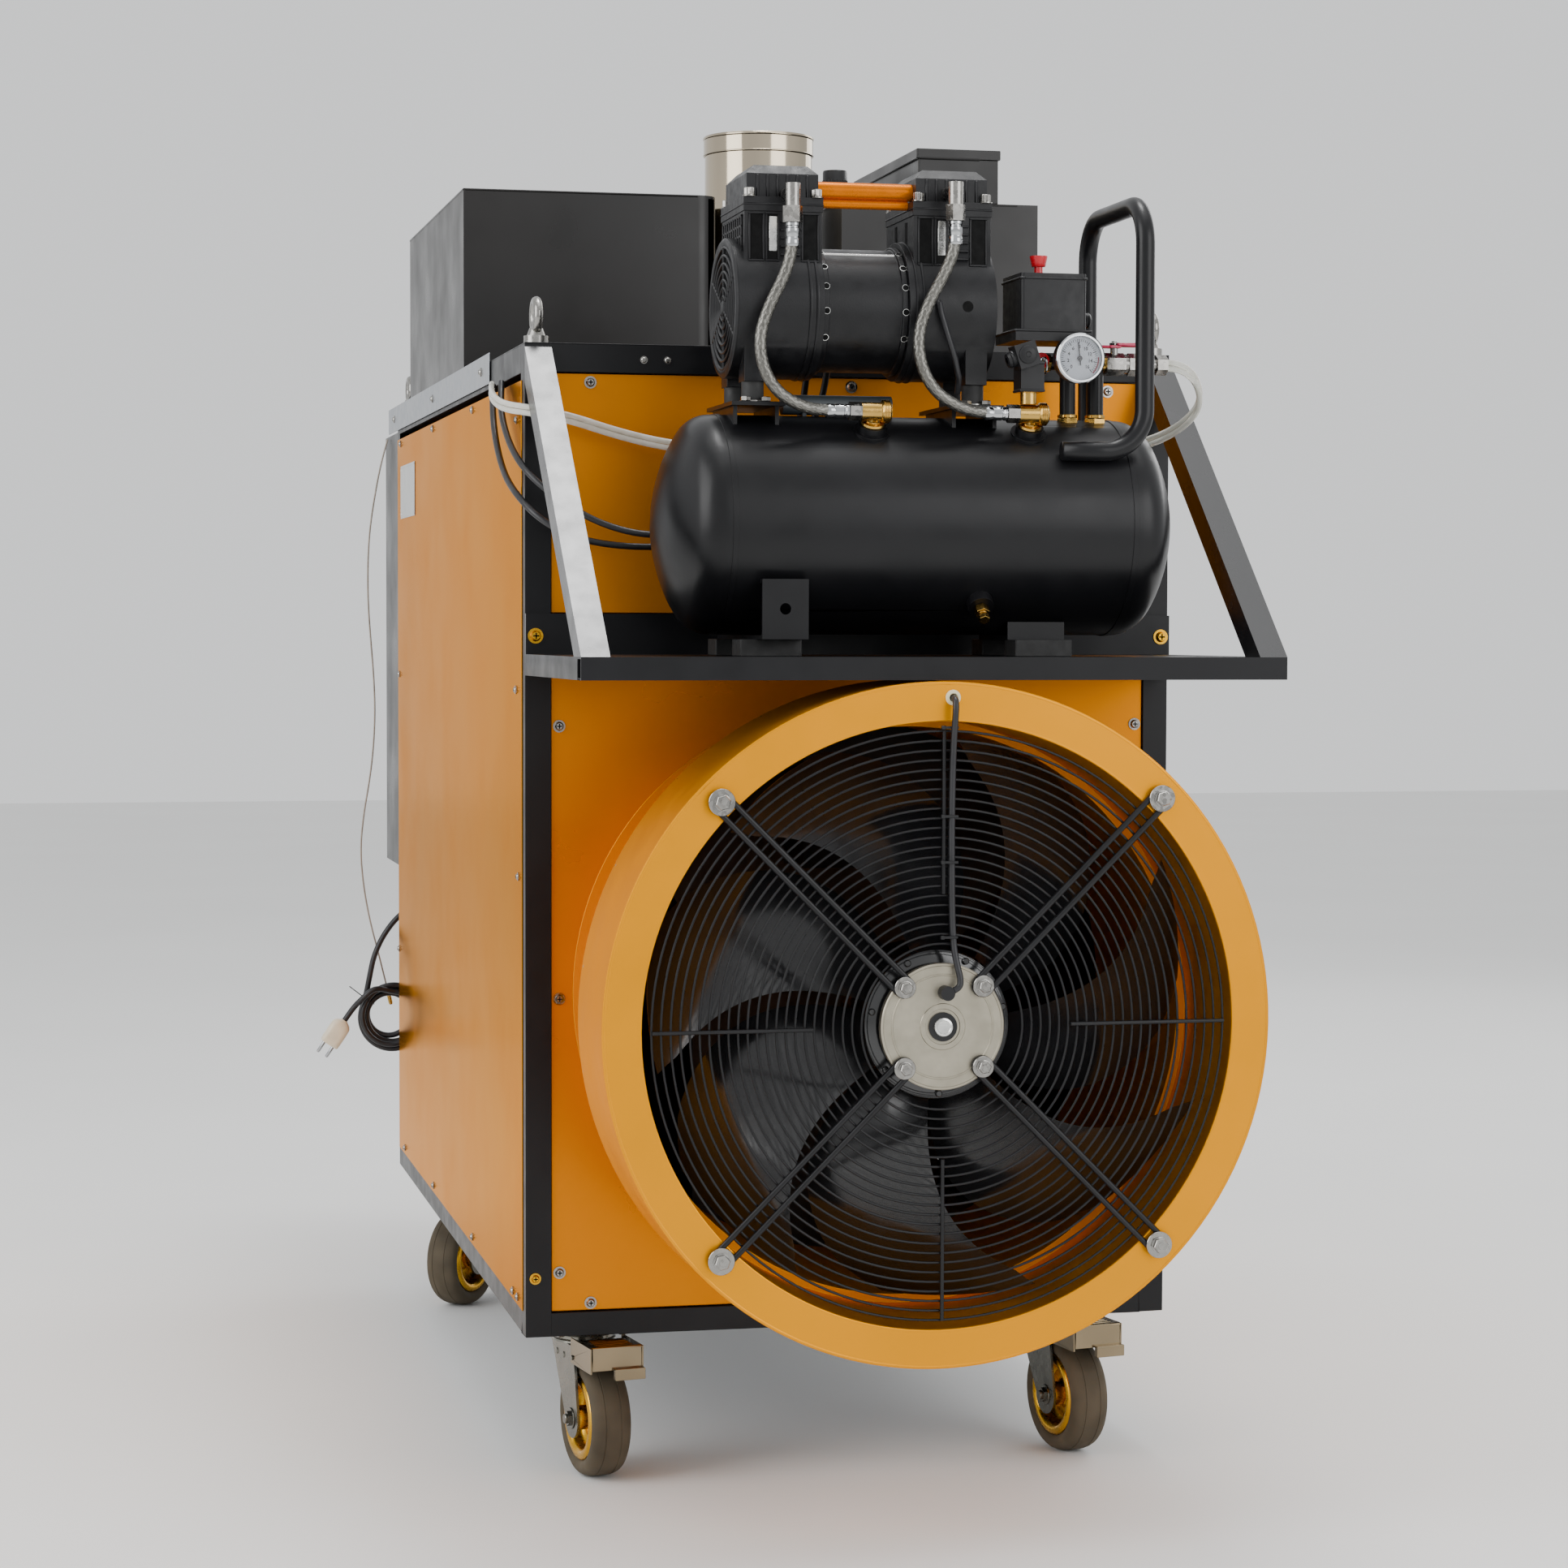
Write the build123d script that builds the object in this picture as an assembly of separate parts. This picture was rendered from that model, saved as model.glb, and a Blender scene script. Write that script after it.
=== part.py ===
from build123d import *
import os
from math import asin, cos, degrees, hypot, pi, radians, sin, tan

# Mobile oil-fired hot-air heater with a twin-cylinder air compressor on its front shelf.
# Millimetres. The machine frame has X to the right, Y to the rear from the cabinet's front
# face and Z up from the cabinet's underside. save() shifts it to the floor and the middle.

# Cabinet
WIDTH = 700.0
DEPTH = 1197.0
HEIGHT = 1036.0
POST = 27.0
TOP_RAIL = 29.0
BOTTOM_RAIL = 25.0
TUBE_WALL = 2.0
SHEET = 1.2
PANEL_FOLD = 12.0
PANEL_TOP = 999.0
GROUND_CLEARANCE = 160.0
LENGTH_MIDDLE = 486.0

# Front shelf and its braces
SHELF_REACH = 359.0
SHELF_TOP = 715.0
SHELF_RAIL = 22.0
SHELF_PLATE_LOW = 676.0
SHELF_PLATE_HIGH = 757.0
BRACE = 28.0
EYE_X = 335.0

# Axial fan
FAN_Z = 360.5
FAN_FRONT = -365.0
FAN_DRUM_BACK = -227.0
FAN_OUTER_R = 331.4
FAN_DUCT_R = 293.3
FAN_THROAT_R = 286.0
FAN_TIP_R = 280.0
FAN_HUB_R = 74.0
FAN_BLADES = 7
FAN_BLADE_PITCH = 30.0
STATOR_R = 61.0
FAN_AXLE_R = 10.0
RUNNING_FIT = 0.05
STRUT_BOLT_R = 308.0
HUB_BOLT_R = 55.0
STRUT_ROD_R = 3.0
STRUT_GAP_R = 8.0
GUARD_WIRES = 23
GUARD_FIRST_R = 80.0
GUARD_LAST_R = 284.0
GUARD_WIRE_R = 1.2

# Air receiver
TANK_R = 109.0
TANK_WALL = 3.0
TANK_Y = -180.0
TANK_Z = 845.0
TANK_LEFT = -249.0
TANK_RIGHT = 280.0
TANK_HEAD = 62.0
FOOT_BOLT_R = 5.5
HANDLE_TUBE_R = 9.5
HANDLE_X = 230.0
HANDLE_TOP = 1165.0
PORT_X = (-41.0, 120.0)
PORT_ANGLE = 56.5
PORT_R = 14.0
DRAIN_X = 65.0
DRAIN_ANGLE = -44.0

# Twin-cylinder pump
PUMP_Z = 1059.0
MOTOR_R = 61.0
CRANK_R = 69.0
MOTOR_X = (-90.0, -4.0)
LEFT_CRANK_X = (-176.0, -90.0)
RIGHT_CRANK_X = (-4.0, 85.0)
CYLINDER_X = ((-168.0, -90.0), (3.0, 82.0))
CYLINDER_TOP = 1150.0
HEAD_TOP = 1196.0
CYLINDER_HALF_DEPTH = 54.0
SHAFT_R = 7.0
PUMP_FOOT_X = (-157.0, 67.0)
ROTOR_R = 45.0
HEAD_PORT = ((-126.0, -262.0, 1166.0), (38.0, -262.0, 1172.0))

# Controls on the receiver
SWITCH_X = (103.0, 177.0)
SWITCH_Y = (-250.0, -182.0)
SWITCH_Z = (1038.0, 1095.0)
KNOB_X = 137.0
KNOB_R = 7.0
GAUGE_CENTRE = (165.0, -262.0, 1010.0)
GAUGE_R = 24.0
VALVE_Y = -200.0
VALVE_STEM_X = 222.0
VALVE_STEM_R = 4.0

# Casters
CASTER_SPOTS = (("fl", -274.0, 84.0, 9.5), ("fr", 252.0, 88.0, 10.5),
                ("rl", -267.0, 1030.0, -38.0), ("rr", 267.0, 1030.0, -12.0))
BRAKED_SPOTS = ("fl", "fr")
WHEEL_R = 62.5
WHEEL_HALF = 22.0
AXLE_R = 6.0
AXLE_Z = -97.5
TRAIL = 35.0
FORK_HALF = 27.0
FORK_PLATE = 3.0
FORK_END_R = 21.0

# Free lead at the rear
CORD_R = 4.0
COIL_CENTRE = (-352.0, 1275.0, 197.0)
COIL_R = 40.0
COIL_HALF_THICK = 12.0

os.makedirs("parts", exist_ok=True)


# ---------------------------------------------------------------- helpers
def save(name, *shapes):
    """Write one node, moved from the machine frame to the floor-centred frame."""
    solids = []
    for shape in shapes:
        solids += shape.solids()
    moved = Pos(0, -LENGTH_MIDDLE, GROUND_CLEARANCE) * Compound(solids)
    export_step(moved, f"parts/{name}.step")


def block(x0, x1, y0, y1, z0, z1):
    return Pos((x0 + x1) / 2, (y0 + y1) / 2, (z0 + z1) / 2) * Box(x1 - x0, y1 - y0, z1 - z0)


def between(start, end):
    """A plane at start that faces end, and the distance."""
    start = Vector(*start)
    way = Vector(*end) - start
    return Plane(origin=start, z_dir=way), way.length


def bar(start, end, radius, bore=0.0):
    plane, length = between(start, end)
    shape = Cylinder(radius, length, align=(Align.CENTER, Align.CENTER, Align.MIN))
    if bore:
        shape -= Cylinder(bore, length, align=(Align.CENTER, Align.CENTER, Align.MIN))
    return plane * shape


def cone(start, end, radius0, radius1):
    plane, length = between(start, end)
    return plane * Cone(radius0, radius1, length, align=(Align.CENTER, Align.CENTER, Align.MIN))


def hexagon(start, end, across_flats):
    plane, length = between(start, end)
    return plane * extrude(RegularPolygon(across_flats / 2, 6, major_radius=False), length)


def square_tube(x0, x1, y0, y1, z0, z1, axis):
    """Hollow box section, open along its axis."""
    hollow = {"X": (0, 1, 1), "Y": (1, 0, 1), "Z": (1, 1, 0)}[axis]
    wall = [TUBE_WALL * inward for inward in hollow]
    inner = block(x0 + wall[0], x1 - wall[0], y0 + wall[1], y1 - wall[1], z0 + wall[2], z1 - wall[2])
    return block(x0, x1, y0, y1, z0, z1) - inner


def bent_bar(points, radii, radius):
    path = FilletPolyline(*points, radius=radii)
    return sweep(Plane(origin=path @ 0, z_dir=path % 0) * Circle(radius), path=path)


def cord_radii(points):
    """The largest arc that the two runs at each corner allow."""
    radii = []
    for before, corner, after in zip(points, points[1:], points[2:]):
        run_in = Vector(*corner) - Vector(*before)
        run_out = Vector(*after) - Vector(*corner)
        turn = radians(run_in.get_angle(run_out))
        radii.append(0.45 * min(run_in.length, run_out.length) / tan(turn / 2))
    return radii


def cord(label, points, radius):
    radii = cord_radii(points)
    runs = [(Vector(*b) - Vector(*a)).length for a, b in zip(points, points[1:])]
    tube = bent_bar(points, radii, radius)
    length = tube.volume / (pi * radius**2)
    print(f"{label}: length {length:.0f}, longest run {max(runs):.0f}, "
          f"shortest run {min(runs):.0f}, tightest radius {min(radii):.0f}")
    return tube


def folded_panel(x0, x1, z0, z1, front, inward):
    """Sheet panel in the XZ plane whose four edges are folded inward."""
    back = front + inward * PANEL_FOLD
    skin = front + inward * SHEET
    low, high = min(front, back), max(front, back)
    inner_low, inner_high = min(skin, back), max(skin, back)
    hollow = block(x0 + SHEET, x1 - SHEET, inner_low, inner_high, z0 + SHEET, z1 - SHEET)
    return block(x0, x1, low, high, z0, z1) - hollow


def disc_y(radius, y0, y1, x=0.0, z=FAN_Z):
    return bar((x, y0, z), (x, y1, z), radius)


def ring_y(outer, inner, y0, y1):
    return bar((0, y0, FAN_Z), (0, y1, FAN_Z), outer, inner)


# ---------------------------------------------------------------- cabinet
def cabinet_frame():
    half = WIDTH / 2
    inside = half - POST
    rear = DEPTH - POST
    tubes = []
    for x0, x1 in ((-half, -inside), (inside, half)):
        for y0, y1 in ((0, POST), (rear, DEPTH)):
            tubes.append(square_tube(x0, x1, y0, y1, 0, HEIGHT, "Z"))
        for z0, z1 in ((0, BOTTOM_RAIL), (HEIGHT - TOP_RAIL, HEIGHT)):
            tubes.append(square_tube(x0, x1, POST, rear, z0, z1, "Y"))
    for y0, y1 in ((0, POST), (rear, DEPTH)):
        for z0, z1 in ((0, BOTTOM_RAIL), (HEIGHT - TOP_RAIL, HEIGHT)):
            tubes.append(square_tube(-inside, inside, y0, y1, z0, z1, "X"))
    tubes.append(square_tube(-inside, inside, 0, POST, SHELF_PLATE_LOW + 27, SHELF_PLATE_HIGH - 27, "X"))
    for y in (86.0, 1030.0):
        tubes.append(block(-inside, inside, y - 55, y + 55, 0, 4))
    tubes.append(block(-inside, inside, POST, rear, 8, 9.5))
    return tubes


def side_panels():
    """Left and right side sheets; the left one carries a blank rating plate."""
    half = WIDTH / 2
    left = block(-half - SHEET, -half, 18, DEPTH - 8, BOTTOM_RAIL, PANEL_TOP)
    rating_plate = block(-half - SHEET - 0.8, -half - SHEET, 981, 1145, 890, 961)
    return [left, mirror(left, about=Plane.YZ), rating_plate]


def front_panels():
    inside = WIDTH / 2 - POST - 0.5
    upper = folded_panel(-inside, inside, SHELF_PLATE_HIGH + 1, HEIGHT - TOP_RAIL - 1, 3, 1)
    lower = folded_panel(-inside, inside, BOTTOM_RAIL + 1, SHELF_PLATE_LOW + 26, 3, 1)
    lower -= disc_y(FAN_THROAT_R + SHEET, 0, 20)
    return [upper, lower]


OUTLET_R = 160.0
OUTLET_REACH = 70.0
OUTLET_X = 140.0
OUTLET_Z = 620.0


def rear_panel():
    """Rear wall with its hot-air outlet collar."""
    inside = WIDTH / 2 - POST - 0.5
    wall = folded_panel(-inside, inside, BOTTOM_RAIL + 1, HEIGHT - TOP_RAIL - 1, DEPTH - 3, -1)
    start = DEPTH - 3 - SHEET
    wall -= disc_y(OUTLET_R, start - 5, DEPTH, OUTLET_X, OUTLET_Z)
    collar = bar((OUTLET_X, start, OUTLET_Z), (OUTLET_X, DEPTH + OUTLET_REACH, OUTLET_Z),
                 OUTLET_R, OUTLET_R - 1.5)
    return wall + collar


def top_deck():
    """Top sheet, folded down between the top rails, with the flue hole."""
    inside = WIDTH / 2
    deck = block(-inside, inside, 0, DEPTH, HEIGHT, HEIGHT + SHEET)
    return deck - bar((FLUE_X, FLUE_Y, HEIGHT - 5), (FLUE_X, FLUE_Y, HEIGHT + 5), FLUE_R + 0.5)


def roof_angles():
    """Galvanised cover strips along the two top edges."""
    x = WIDTH / 2 + 2 * SHEET
    left = block(-x, -x + SHEET, 256, 1290, 1012, 1046)
    spacer = block(-x + SHEET, -WIDTH / 2, 300, DEPTH - 10, 1018, 1034)
    return [left + spacer, mirror(left + spacer, about=Plane.YZ)]


def screw(start, way, head_r=6.0, head=4.0):
    """Flanged cross-head screw standing on a panel."""
    axis = Vector(*way)
    base = Vector(*start)
    flange = base + axis * 1.2
    crown = base + axis * head
    return bar(base, flange, head_r) + cone(flange, crown, head_r * 0.72, head_r * 0.5)


def panel_screws():
    out = (0, -1, 0)
    screws = []
    for x in (-281, -2, 281):
        screws.append(screw((x, 3, 997), out, 6.5))
        screws.append(screw((x, 3, 34), out, 6.5))
    for z in (67, 355, 640):
        for x in (-314, 314):
            screws.append(screw((x, 3, z), out, 6.5))
    for x in (-340, 340):
        screws.append(screw((x, 0, 62), out, 6.0))
        screws.append(screw((x, -6, 734), out, 8.0, 6.0))
    for side in (-1, 1):
        x = side * (WIDTH / 2 + SHEET)
        for y, z in ((404, 992), (785, 992), (1150, 992), (40, 481), (56, 677), (1172, 679),
                     (1182, 301), (85, 34), (417, 34), (795, 34), (1120, 34), (50, 34), (50, 960)):
            screws.append(screw((x, y, z), (side, 0, 0), 4.5, 3.0))
        for y in (320, 776, 1214):
            screws.append(screw((side * (WIDTH / 2 + 2 * SHEET), y, 1029), (side, 0, 0), 5.0, 3.0))
    for x in (-225, -200, 225):
        screws.append(screw((x, 0, HEIGHT - 15), out, 4.0, 2.0))
    return screws


CHAMBER_X = 60.0
CHAMBER_Z = 560.0


def heat_exchanger():
    """Combustion drum and its riser to the flue, inside the cabinet."""
    drum = bar((CHAMBER_X, 320, CHAMBER_Z), (CHAMBER_X, 1080, CHAMBER_Z), 230, 227)
    ends = [disc_y(230, 316, 320, CHAMBER_X, CHAMBER_Z), disc_y(230, 1080, 1084, CHAMBER_X, CHAMBER_Z)]
    riser = bar((FLUE_X, FLUE_Y, CHAMBER_Z + 180), (FLUE_X, FLUE_Y, HEIGHT - 6), FLUE_R, FLUE_R - 2)
    riser -= bar((CHAMBER_X, 300, CHAMBER_Z), (CHAMBER_X, 1100, CHAMBER_Z), 228)
    cradles = [block(CHAMBER_X - 150, CHAMBER_X + 150, y, y + 4, 9.5, CHAMBER_Z - 150) for y in (420, 980)]
    body = drum + ends[0] + ends[1] + riser
    solid = bar((CHAMBER_X, 316, CHAMBER_Z), (CHAMBER_X, 1084, CHAMBER_Z), 230)
    return [body] + [cradle - solid for cradle in cradles]


def burner():
    """Burner gun on the drum's front end, inside the cabinet."""
    head = bar((CHAMBER_X, 220, CHAMBER_Z), (CHAMBER_X, 316, CHAMBER_Z), 50)
    housing = block(CHAMBER_X - 85, CHAMBER_X + 85, 120, 220, CHAMBER_Z - 80, CHAMBER_Z + 90)
    return head + housing


# ---------------------------------------------------------------- fan
def fan_shroud():
    """Double-walled intake drum with its flat face ring and the throat behind it."""
    face = ring_y(FAN_OUTER_R, FAN_DUCT_R, FAN_FRONT, FAN_FRONT + 1.5)
    outer = ring_y(FAN_OUTER_R, FAN_OUTER_R - 1.5, FAN_FRONT, FAN_DRUM_BACK)
    inner = ring_y(FAN_DUCT_R + 1.5, FAN_DUCT_R, FAN_FRONT, FAN_DRUM_BACK)
    back = ring_y(FAN_OUTER_R, FAN_THROAT_R - 1.5, FAN_DRUM_BACK, FAN_DRUM_BACK + 1.5)
    throat = ring_y(FAN_THROAT_R, FAN_THROAT_R - 1.5, FAN_DRUM_BACK, 40)
    flange = ring_y(FAN_THROAT_R + 14, FAN_THROAT_R, 1.2, 3)
    return face + outer + inner + back + throat + flange


def guard_radii():
    step = (GUARD_LAST_R - GUARD_FIRST_R) / (GUARD_WIRES - 1)
    return [GUARD_FIRST_R + step * count for count in range(GUARD_WIRES)]


def fan_guard():
    """Ring wires of the intake guard and its four radial bars."""
    wires = [ring_y(radius + GUARD_WIRE_R, radius - GUARD_WIRE_R, FAN_FRONT, FAN_FRONT + 2 * GUARD_WIRE_R)
             for radius in guard_radii()]
    y = FAN_FRONT - 2.0
    bars = []
    for turn in (0, 90, 180, 270):
        ux, uz = cos(radians(turn)), sin(radians(turn))
        bars.append(bar((128 * ux, y, FAN_Z + 128 * uz), (284 * ux, y, FAN_Z + 284 * uz), 2.0))
    return wires + bars


STRUT_Y = FAN_FRONT - STRUT_ROD_R


def strut(turn):
    """One hairpin rod looped round a ring bolt and a hub bolt."""
    length = STRUT_BOLT_R - HUB_BOLT_R
    rod = Rot(0, 90, 0) * Cylinder(STRUT_ROD_R, length)
    loop = Rot(0, 0, 90) * Torus(STRUT_GAP_R, STRUT_ROD_R, major_angle=180, align=None)
    pieces = [Pos(length / 2, STRUT_GAP_R, 0) * rod, Pos(length / 2, -STRUT_GAP_R, 0) * rod,
              loop, Pos(length, 0, 0) * Rot(0, 0, 180) * loop]
    place = Pos(0, STRUT_Y, FAN_Z) * Rot(0, -turn, 0) * Pos(HUB_BOLT_R, 0, 0) * Rot(90, 0, 0)
    return [place * piece for piece in pieces]


def fan_struts():
    return [piece for count in range(4) for piece in strut(45 + 90 * count)]


def strut_bolts():
    """Bolts and big washers on the ring, smaller ones on the hub."""
    pieces = []
    washer_back = STRUT_Y - STRUT_ROD_R
    for count in range(4):
        turn = radians(45 + 90 * count)
        for radius, washer_r, flats, foot, deep in ((STRUT_BOLT_R, 13.0, 13.0, FAN_FRONT, 3.5),
                                                    (HUB_BOLT_R, 10.5, 11.0, STATOR_FACE, 3.0)):
            x = radius * cos(turn)
            z = FAN_Z + radius * sin(turn)
            washer = bar((x, washer_back - 2, z), (x, washer_back, z), washer_r)
            head = hexagon((x, washer_back - 2 - deep * 2, z), (x, washer_back - 2, z), flats)
            shank = bar((x, washer_back, z), (x, foot, z), 4.0)
            pieces.append(washer + head + shank)
    return pieces


STATOR_FACE = FAN_FRONT
STATOR_BACK = FAN_FRONT + 9.0
AXLE_END = -236.0


def fan_stator():
    """Fixed half of the outer-rotor motor: the face plate with its axle and cable gland."""
    plate = disc_y(STATOR_R, STATOR_FACE, STATOR_BACK)
    rim = disc_y(STATOR_R - 4, STATOR_BACK, STATOR_BACK + 5)
    collar = disc_y(14, STATOR_FACE - 2.5, STATOR_FACE)
    nose = disc_y(9, STATOR_FACE - 4.5, STATOR_FACE)
    axle = disc_y(FAN_AXLE_R, STATOR_BACK, AXLE_END)
    gland = bar((2, STATOR_FACE - 13, FAN_Z + 33), (2, STATOR_FACE, FAN_Z + 33), 7)
    return plate + rim + collar + nose + axle + gland


def fan_blade(turn):
    """Sickle blade: a slab cut to its outline and tilted about its own radius."""
    root, tip = FAN_HUB_R - 6, FAN_TIP_R
    middle = (root + tip) / 2
    lead_tip = (tip * 0.93, 76)
    trail_tip = (tip * 0.93, -98)
    lead = ThreePointArc((root, 22), (middle, 34), lead_tip)
    end = ThreePointArc(lead_tip, (tip - 1.5, -10), trail_tip)
    trail = ThreePointArc(trail_tip, (middle, -60), (root, -34))
    close = Line((root, -34), (root, 22))
    slab = extrude(make_face(Curve() + [lead, end, trail, close]), 1.5, both=True)
    tilted = Rot(FAN_BLADE_PITCH, 0, 0) * slab
    return Pos(0, FAN_PLANE_Y, FAN_Z) * Rot(0, -turn, 0) * Rot(90, 0, 0) * tilted


FAN_PLANE_Y = -296.0
FIRST_BLADE = 19.0


def fan_impeller():
    """Rotor can with its sickle blades, bored to run on the axle."""
    can = disc_y(FAN_HUB_R, STATOR_BACK + 9, AXLE_END - 4)
    wheel = can
    for count in range(FAN_BLADES):
        wheel += fan_blade(FIRST_BLADE + 360 / FAN_BLADES * count)
    swept_limit = ring_y(FAN_TIP_R, 1, STATOR_BACK + 9, FAN_DRUM_BACK - 6)
    wheel &= swept_limit
    return wheel - disc_y(FAN_AXLE_R + RUNNING_FIT, FAN_FRONT, 0)


# ---------------------------------------------------------------- shelf
def brace(side):
    """Slanted square tube from the cabinet's top corner down to the shelf's front corner."""
    slope = (HEIGHT - 3 - SHELF_TOP) / SHELF_REACH
    wide = BRACE * hypot(1, slope) / slope
    outline = Polyline((-SHELF_REACH, SHELF_TOP), (-SHELF_REACH + wide, SHELF_TOP),
                       (0, SHELF_TOP + slope * (SHELF_REACH - wide)), (0, SHELF_TOP + slope * SHELF_REACH),
                       (-SHELF_REACH, SHELF_TOP))
    solid = extrude(Plane.YZ * make_face(outline), BRACE)
    return Pos(-WIDTH / 2 if side < 0 else WIDTH / 2 - BRACE, 0, 0) * solid


def compressor_shelf():
    """Shelf frame, its tray and back plate, and the two braces."""
    half = WIDTH / 2
    low = SHELF_TOP - SHELF_RAIL
    front = square_tube(-half, half, -SHELF_REACH, -SHELF_REACH + SHELF_RAIL, low, SHELF_TOP, "X")
    left = square_tube(-half, -half + SHELF_RAIL, -SHELF_REACH + SHELF_RAIL, -6, low, SHELF_TOP, "Y")
    right = mirror(left, about=Plane.YZ)
    tray = block(-half + SHELF_RAIL, half - SHELF_RAIL, -SHELF_REACH + SHELF_RAIL, -6, SHELF_TOP - 3, SHELF_TOP)
    plate = block(-half, half, -6, 0, low, SHELF_PLATE_HIGH)
    return [front, left, right, tray, plate, brace(-1), brace(1)]


def lifting_eye(x, y):
    """Forged eye bolt standing on a corner."""
    base = bar((x, y, EYE_FOOT), (x, y, EYE_FOOT + 8), 13)
    neck = cone((x, y, EYE_FOOT + 8), (x, y, EYE_FOOT + 16), 10, 7)
    ring = Pos(x, y, EYE_FOOT + 29) * Rot(0, 90, 0) * Torus(15, 5)
    return base + neck + ring


EYE_FOOT = HEIGHT + SHEET


def lifting_eyes():
    return [lifting_eye(x, y) for x in (-EYE_X, EYE_X) for y in (20, 1176)]


# ---------------------------------------------------------------- roof
ROOF = HEIGHT + SHEET
BOX_TOP = 1256.0
FLUE_X = 32.0
FLUE_Y = 625.0
FLUE_R = 66.0
FLUE_TOP = 1345.0
BREATHER_TOP = 1318.0
AIR_BOX_TOP = 1320.0


def hollow_box(x0, x1, y0, y1, z0, z1, wall=1.5):
    outer = block(x0, x1, y0, y1, z0, z1)
    return outer - block(x0 + wall, x1 - wall, y0 + wall, y1 - wall, z0, z1 - wall)


def oil_tank():
    """Fuel tank with one rounded front corner, its filler neck and ribbed cap."""
    body = block(-350, -45, 490, 1043, ROOF, BOX_TOP)
    corner = body.edges().filter_by(Axis.Z).sort_by(lambda edge: edge.center().X - edge.center().Y)[-1]
    body = fillet(corner, 25)
    inner = block(-346.5, -48.5, 493.5, 1039.5, ROOF + 3.5, BOX_TOP - 3.5)
    return body - inner


def burner_box():
    """Cover over the fuel pump and ignition gear, with the breather cap on it."""
    cover = hollow_box(105, 350, 490, 810, ROOF, BOX_TOP)
    return [cover, bar((147, 700, BOX_TOP), (147, 700, BREATHER_TOP), 15)]


def air_box():
    """Lidded duct that stands on the burner cover, flush with its front."""
    lid_low = AIR_BOX_TOP - 11.5
    duct = hollow_box(200, 300, 490, 805, BOX_TOP, lid_low)
    lid = block(197.5, 302.5, 488, 807.5, lid_low, AIR_BOX_TOP)
    return [duct, lid]


def flue_stack():
    """Chimney tube with its rolled rim, standing over the riser."""
    tube = bar((FLUE_X, FLUE_Y, ROOF), (FLUE_X, FLUE_Y, FLUE_TOP), FLUE_R, FLUE_R - 1.5)
    rim = bar((FLUE_X, FLUE_Y, FLUE_TOP - 22), (FLUE_X, FLUE_Y, FLUE_TOP), FLUE_R + 1.5, FLUE_R - 0.5)
    foot = bar((FLUE_X, FLUE_Y, ROOF), (FLUE_X, FLUE_Y, ROOF + 2), FLUE_R + 7, FLUE_R - 0.5)
    return tube + rim + foot


CONTROL_X = (-350.0, -60.0)
CONTROL_BACK = 1352.0
CONTROL_Z = (415.0, 1010.0)
GLAND_SPOT = (-318.0, 1275.0)


def control_box():
    """Electrical cabinet on the rear wall, with the lead's gland underneath."""
    box = block(CONTROL_X[0], CONTROL_X[1], DEPTH, CONTROL_BACK, CONTROL_Z[0], CONTROL_Z[1])
    box -= block(CONTROL_X[0] + 1.5, CONTROL_X[1] - 1.5, DEPTH + 1.5, CONTROL_BACK - 1.5,
                 CONTROL_Z[0] + 1.5, CONTROL_Z[1] - 1.5)
    x, y = GLAND_SPOT
    nut = hexagon((x, y, CONTROL_Z[0] - 10), (x, y, CONTROL_Z[0]), 20)
    relief = cone((x, y, CONTROL_Z[0] - 32), (x, y, CONTROL_Z[0] - 10), 6.0, 9.0)
    return box + nut + relief


# ---------------------------------------------------------------- receiver
def head_curve(radius, apex, way):
    """Half outline of one dished head: a crown arc, then the knuckle arc down to the shell."""
    crown = 1.6 * radius
    knuckle = 0.308 * radius
    depth = crown - ((crown - knuckle)**2 - (radius - knuckle)**2) ** 0.5
    joint = degrees(asin((radius - knuckle) / (crown - knuckle)))

    def on_crown(angle):
        return (apex + way * crown * (1 - cos(radians(angle))), crown * sin(radians(angle)))

    def on_knuckle(angle):
        return (apex + way * (depth - knuckle * cos(radians(angle))),
                radius - knuckle + knuckle * sin(radians(angle)))

    arcs = [ThreePointArc(on_crown(0), on_crown(joint / 2), on_crown(joint)),
            ThreePointArc(on_crown(joint), on_knuckle(joint / 2 + 45), on_knuckle(90))]
    return arcs, on_knuckle(90)


def dished_tank(radius, left, right):
    """Cylindrical shell with a dished head at each end, as a solid."""
    left_arcs, left_shoulder = head_curve(radius, left, 1)
    right_arcs, right_shoulder = head_curve(radius, right, -1)
    outline = left_arcs + right_arcs
    outline.append(Line(left_shoulder, right_shoulder))
    outline.append(Line((left, 0), (right, 0)))
    return Pos(0, TANK_Y, TANK_Z) * revolve(make_face(Curve() + outline), Axis.X)


def radial(angle, radius):
    """Point on a circle round the receiver's axis, angle up from the front."""
    return TANK_Y - radius * cos(radians(angle)), TANK_Z + radius * sin(radians(angle))


def boss(x, angle, radius, outer):
    y0, z0 = radial(angle, TANK_R - 6)
    y1, z1 = radial(angle, outer)
    return bar((x, y0, z0), (x, y1, z1), radius)


def saddle(x0, x1, half_span, leg_top):
    """Bent strap foot that goes under the receiver from front to rear."""
    thick = 4.0
    base = PAD_TOP
    pieces = block(x0, x1, TANK_Y - half_span, TANK_Y + half_span, base, base + thick)
    for side in (-1, 1):
        y = TANK_Y + side * half_span
        pieces += block(x0, x1, min(y, y - side * thick), max(y, y - side * thick), base, leg_top)
    return pieces


PAD_TOP = 731.5


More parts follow.
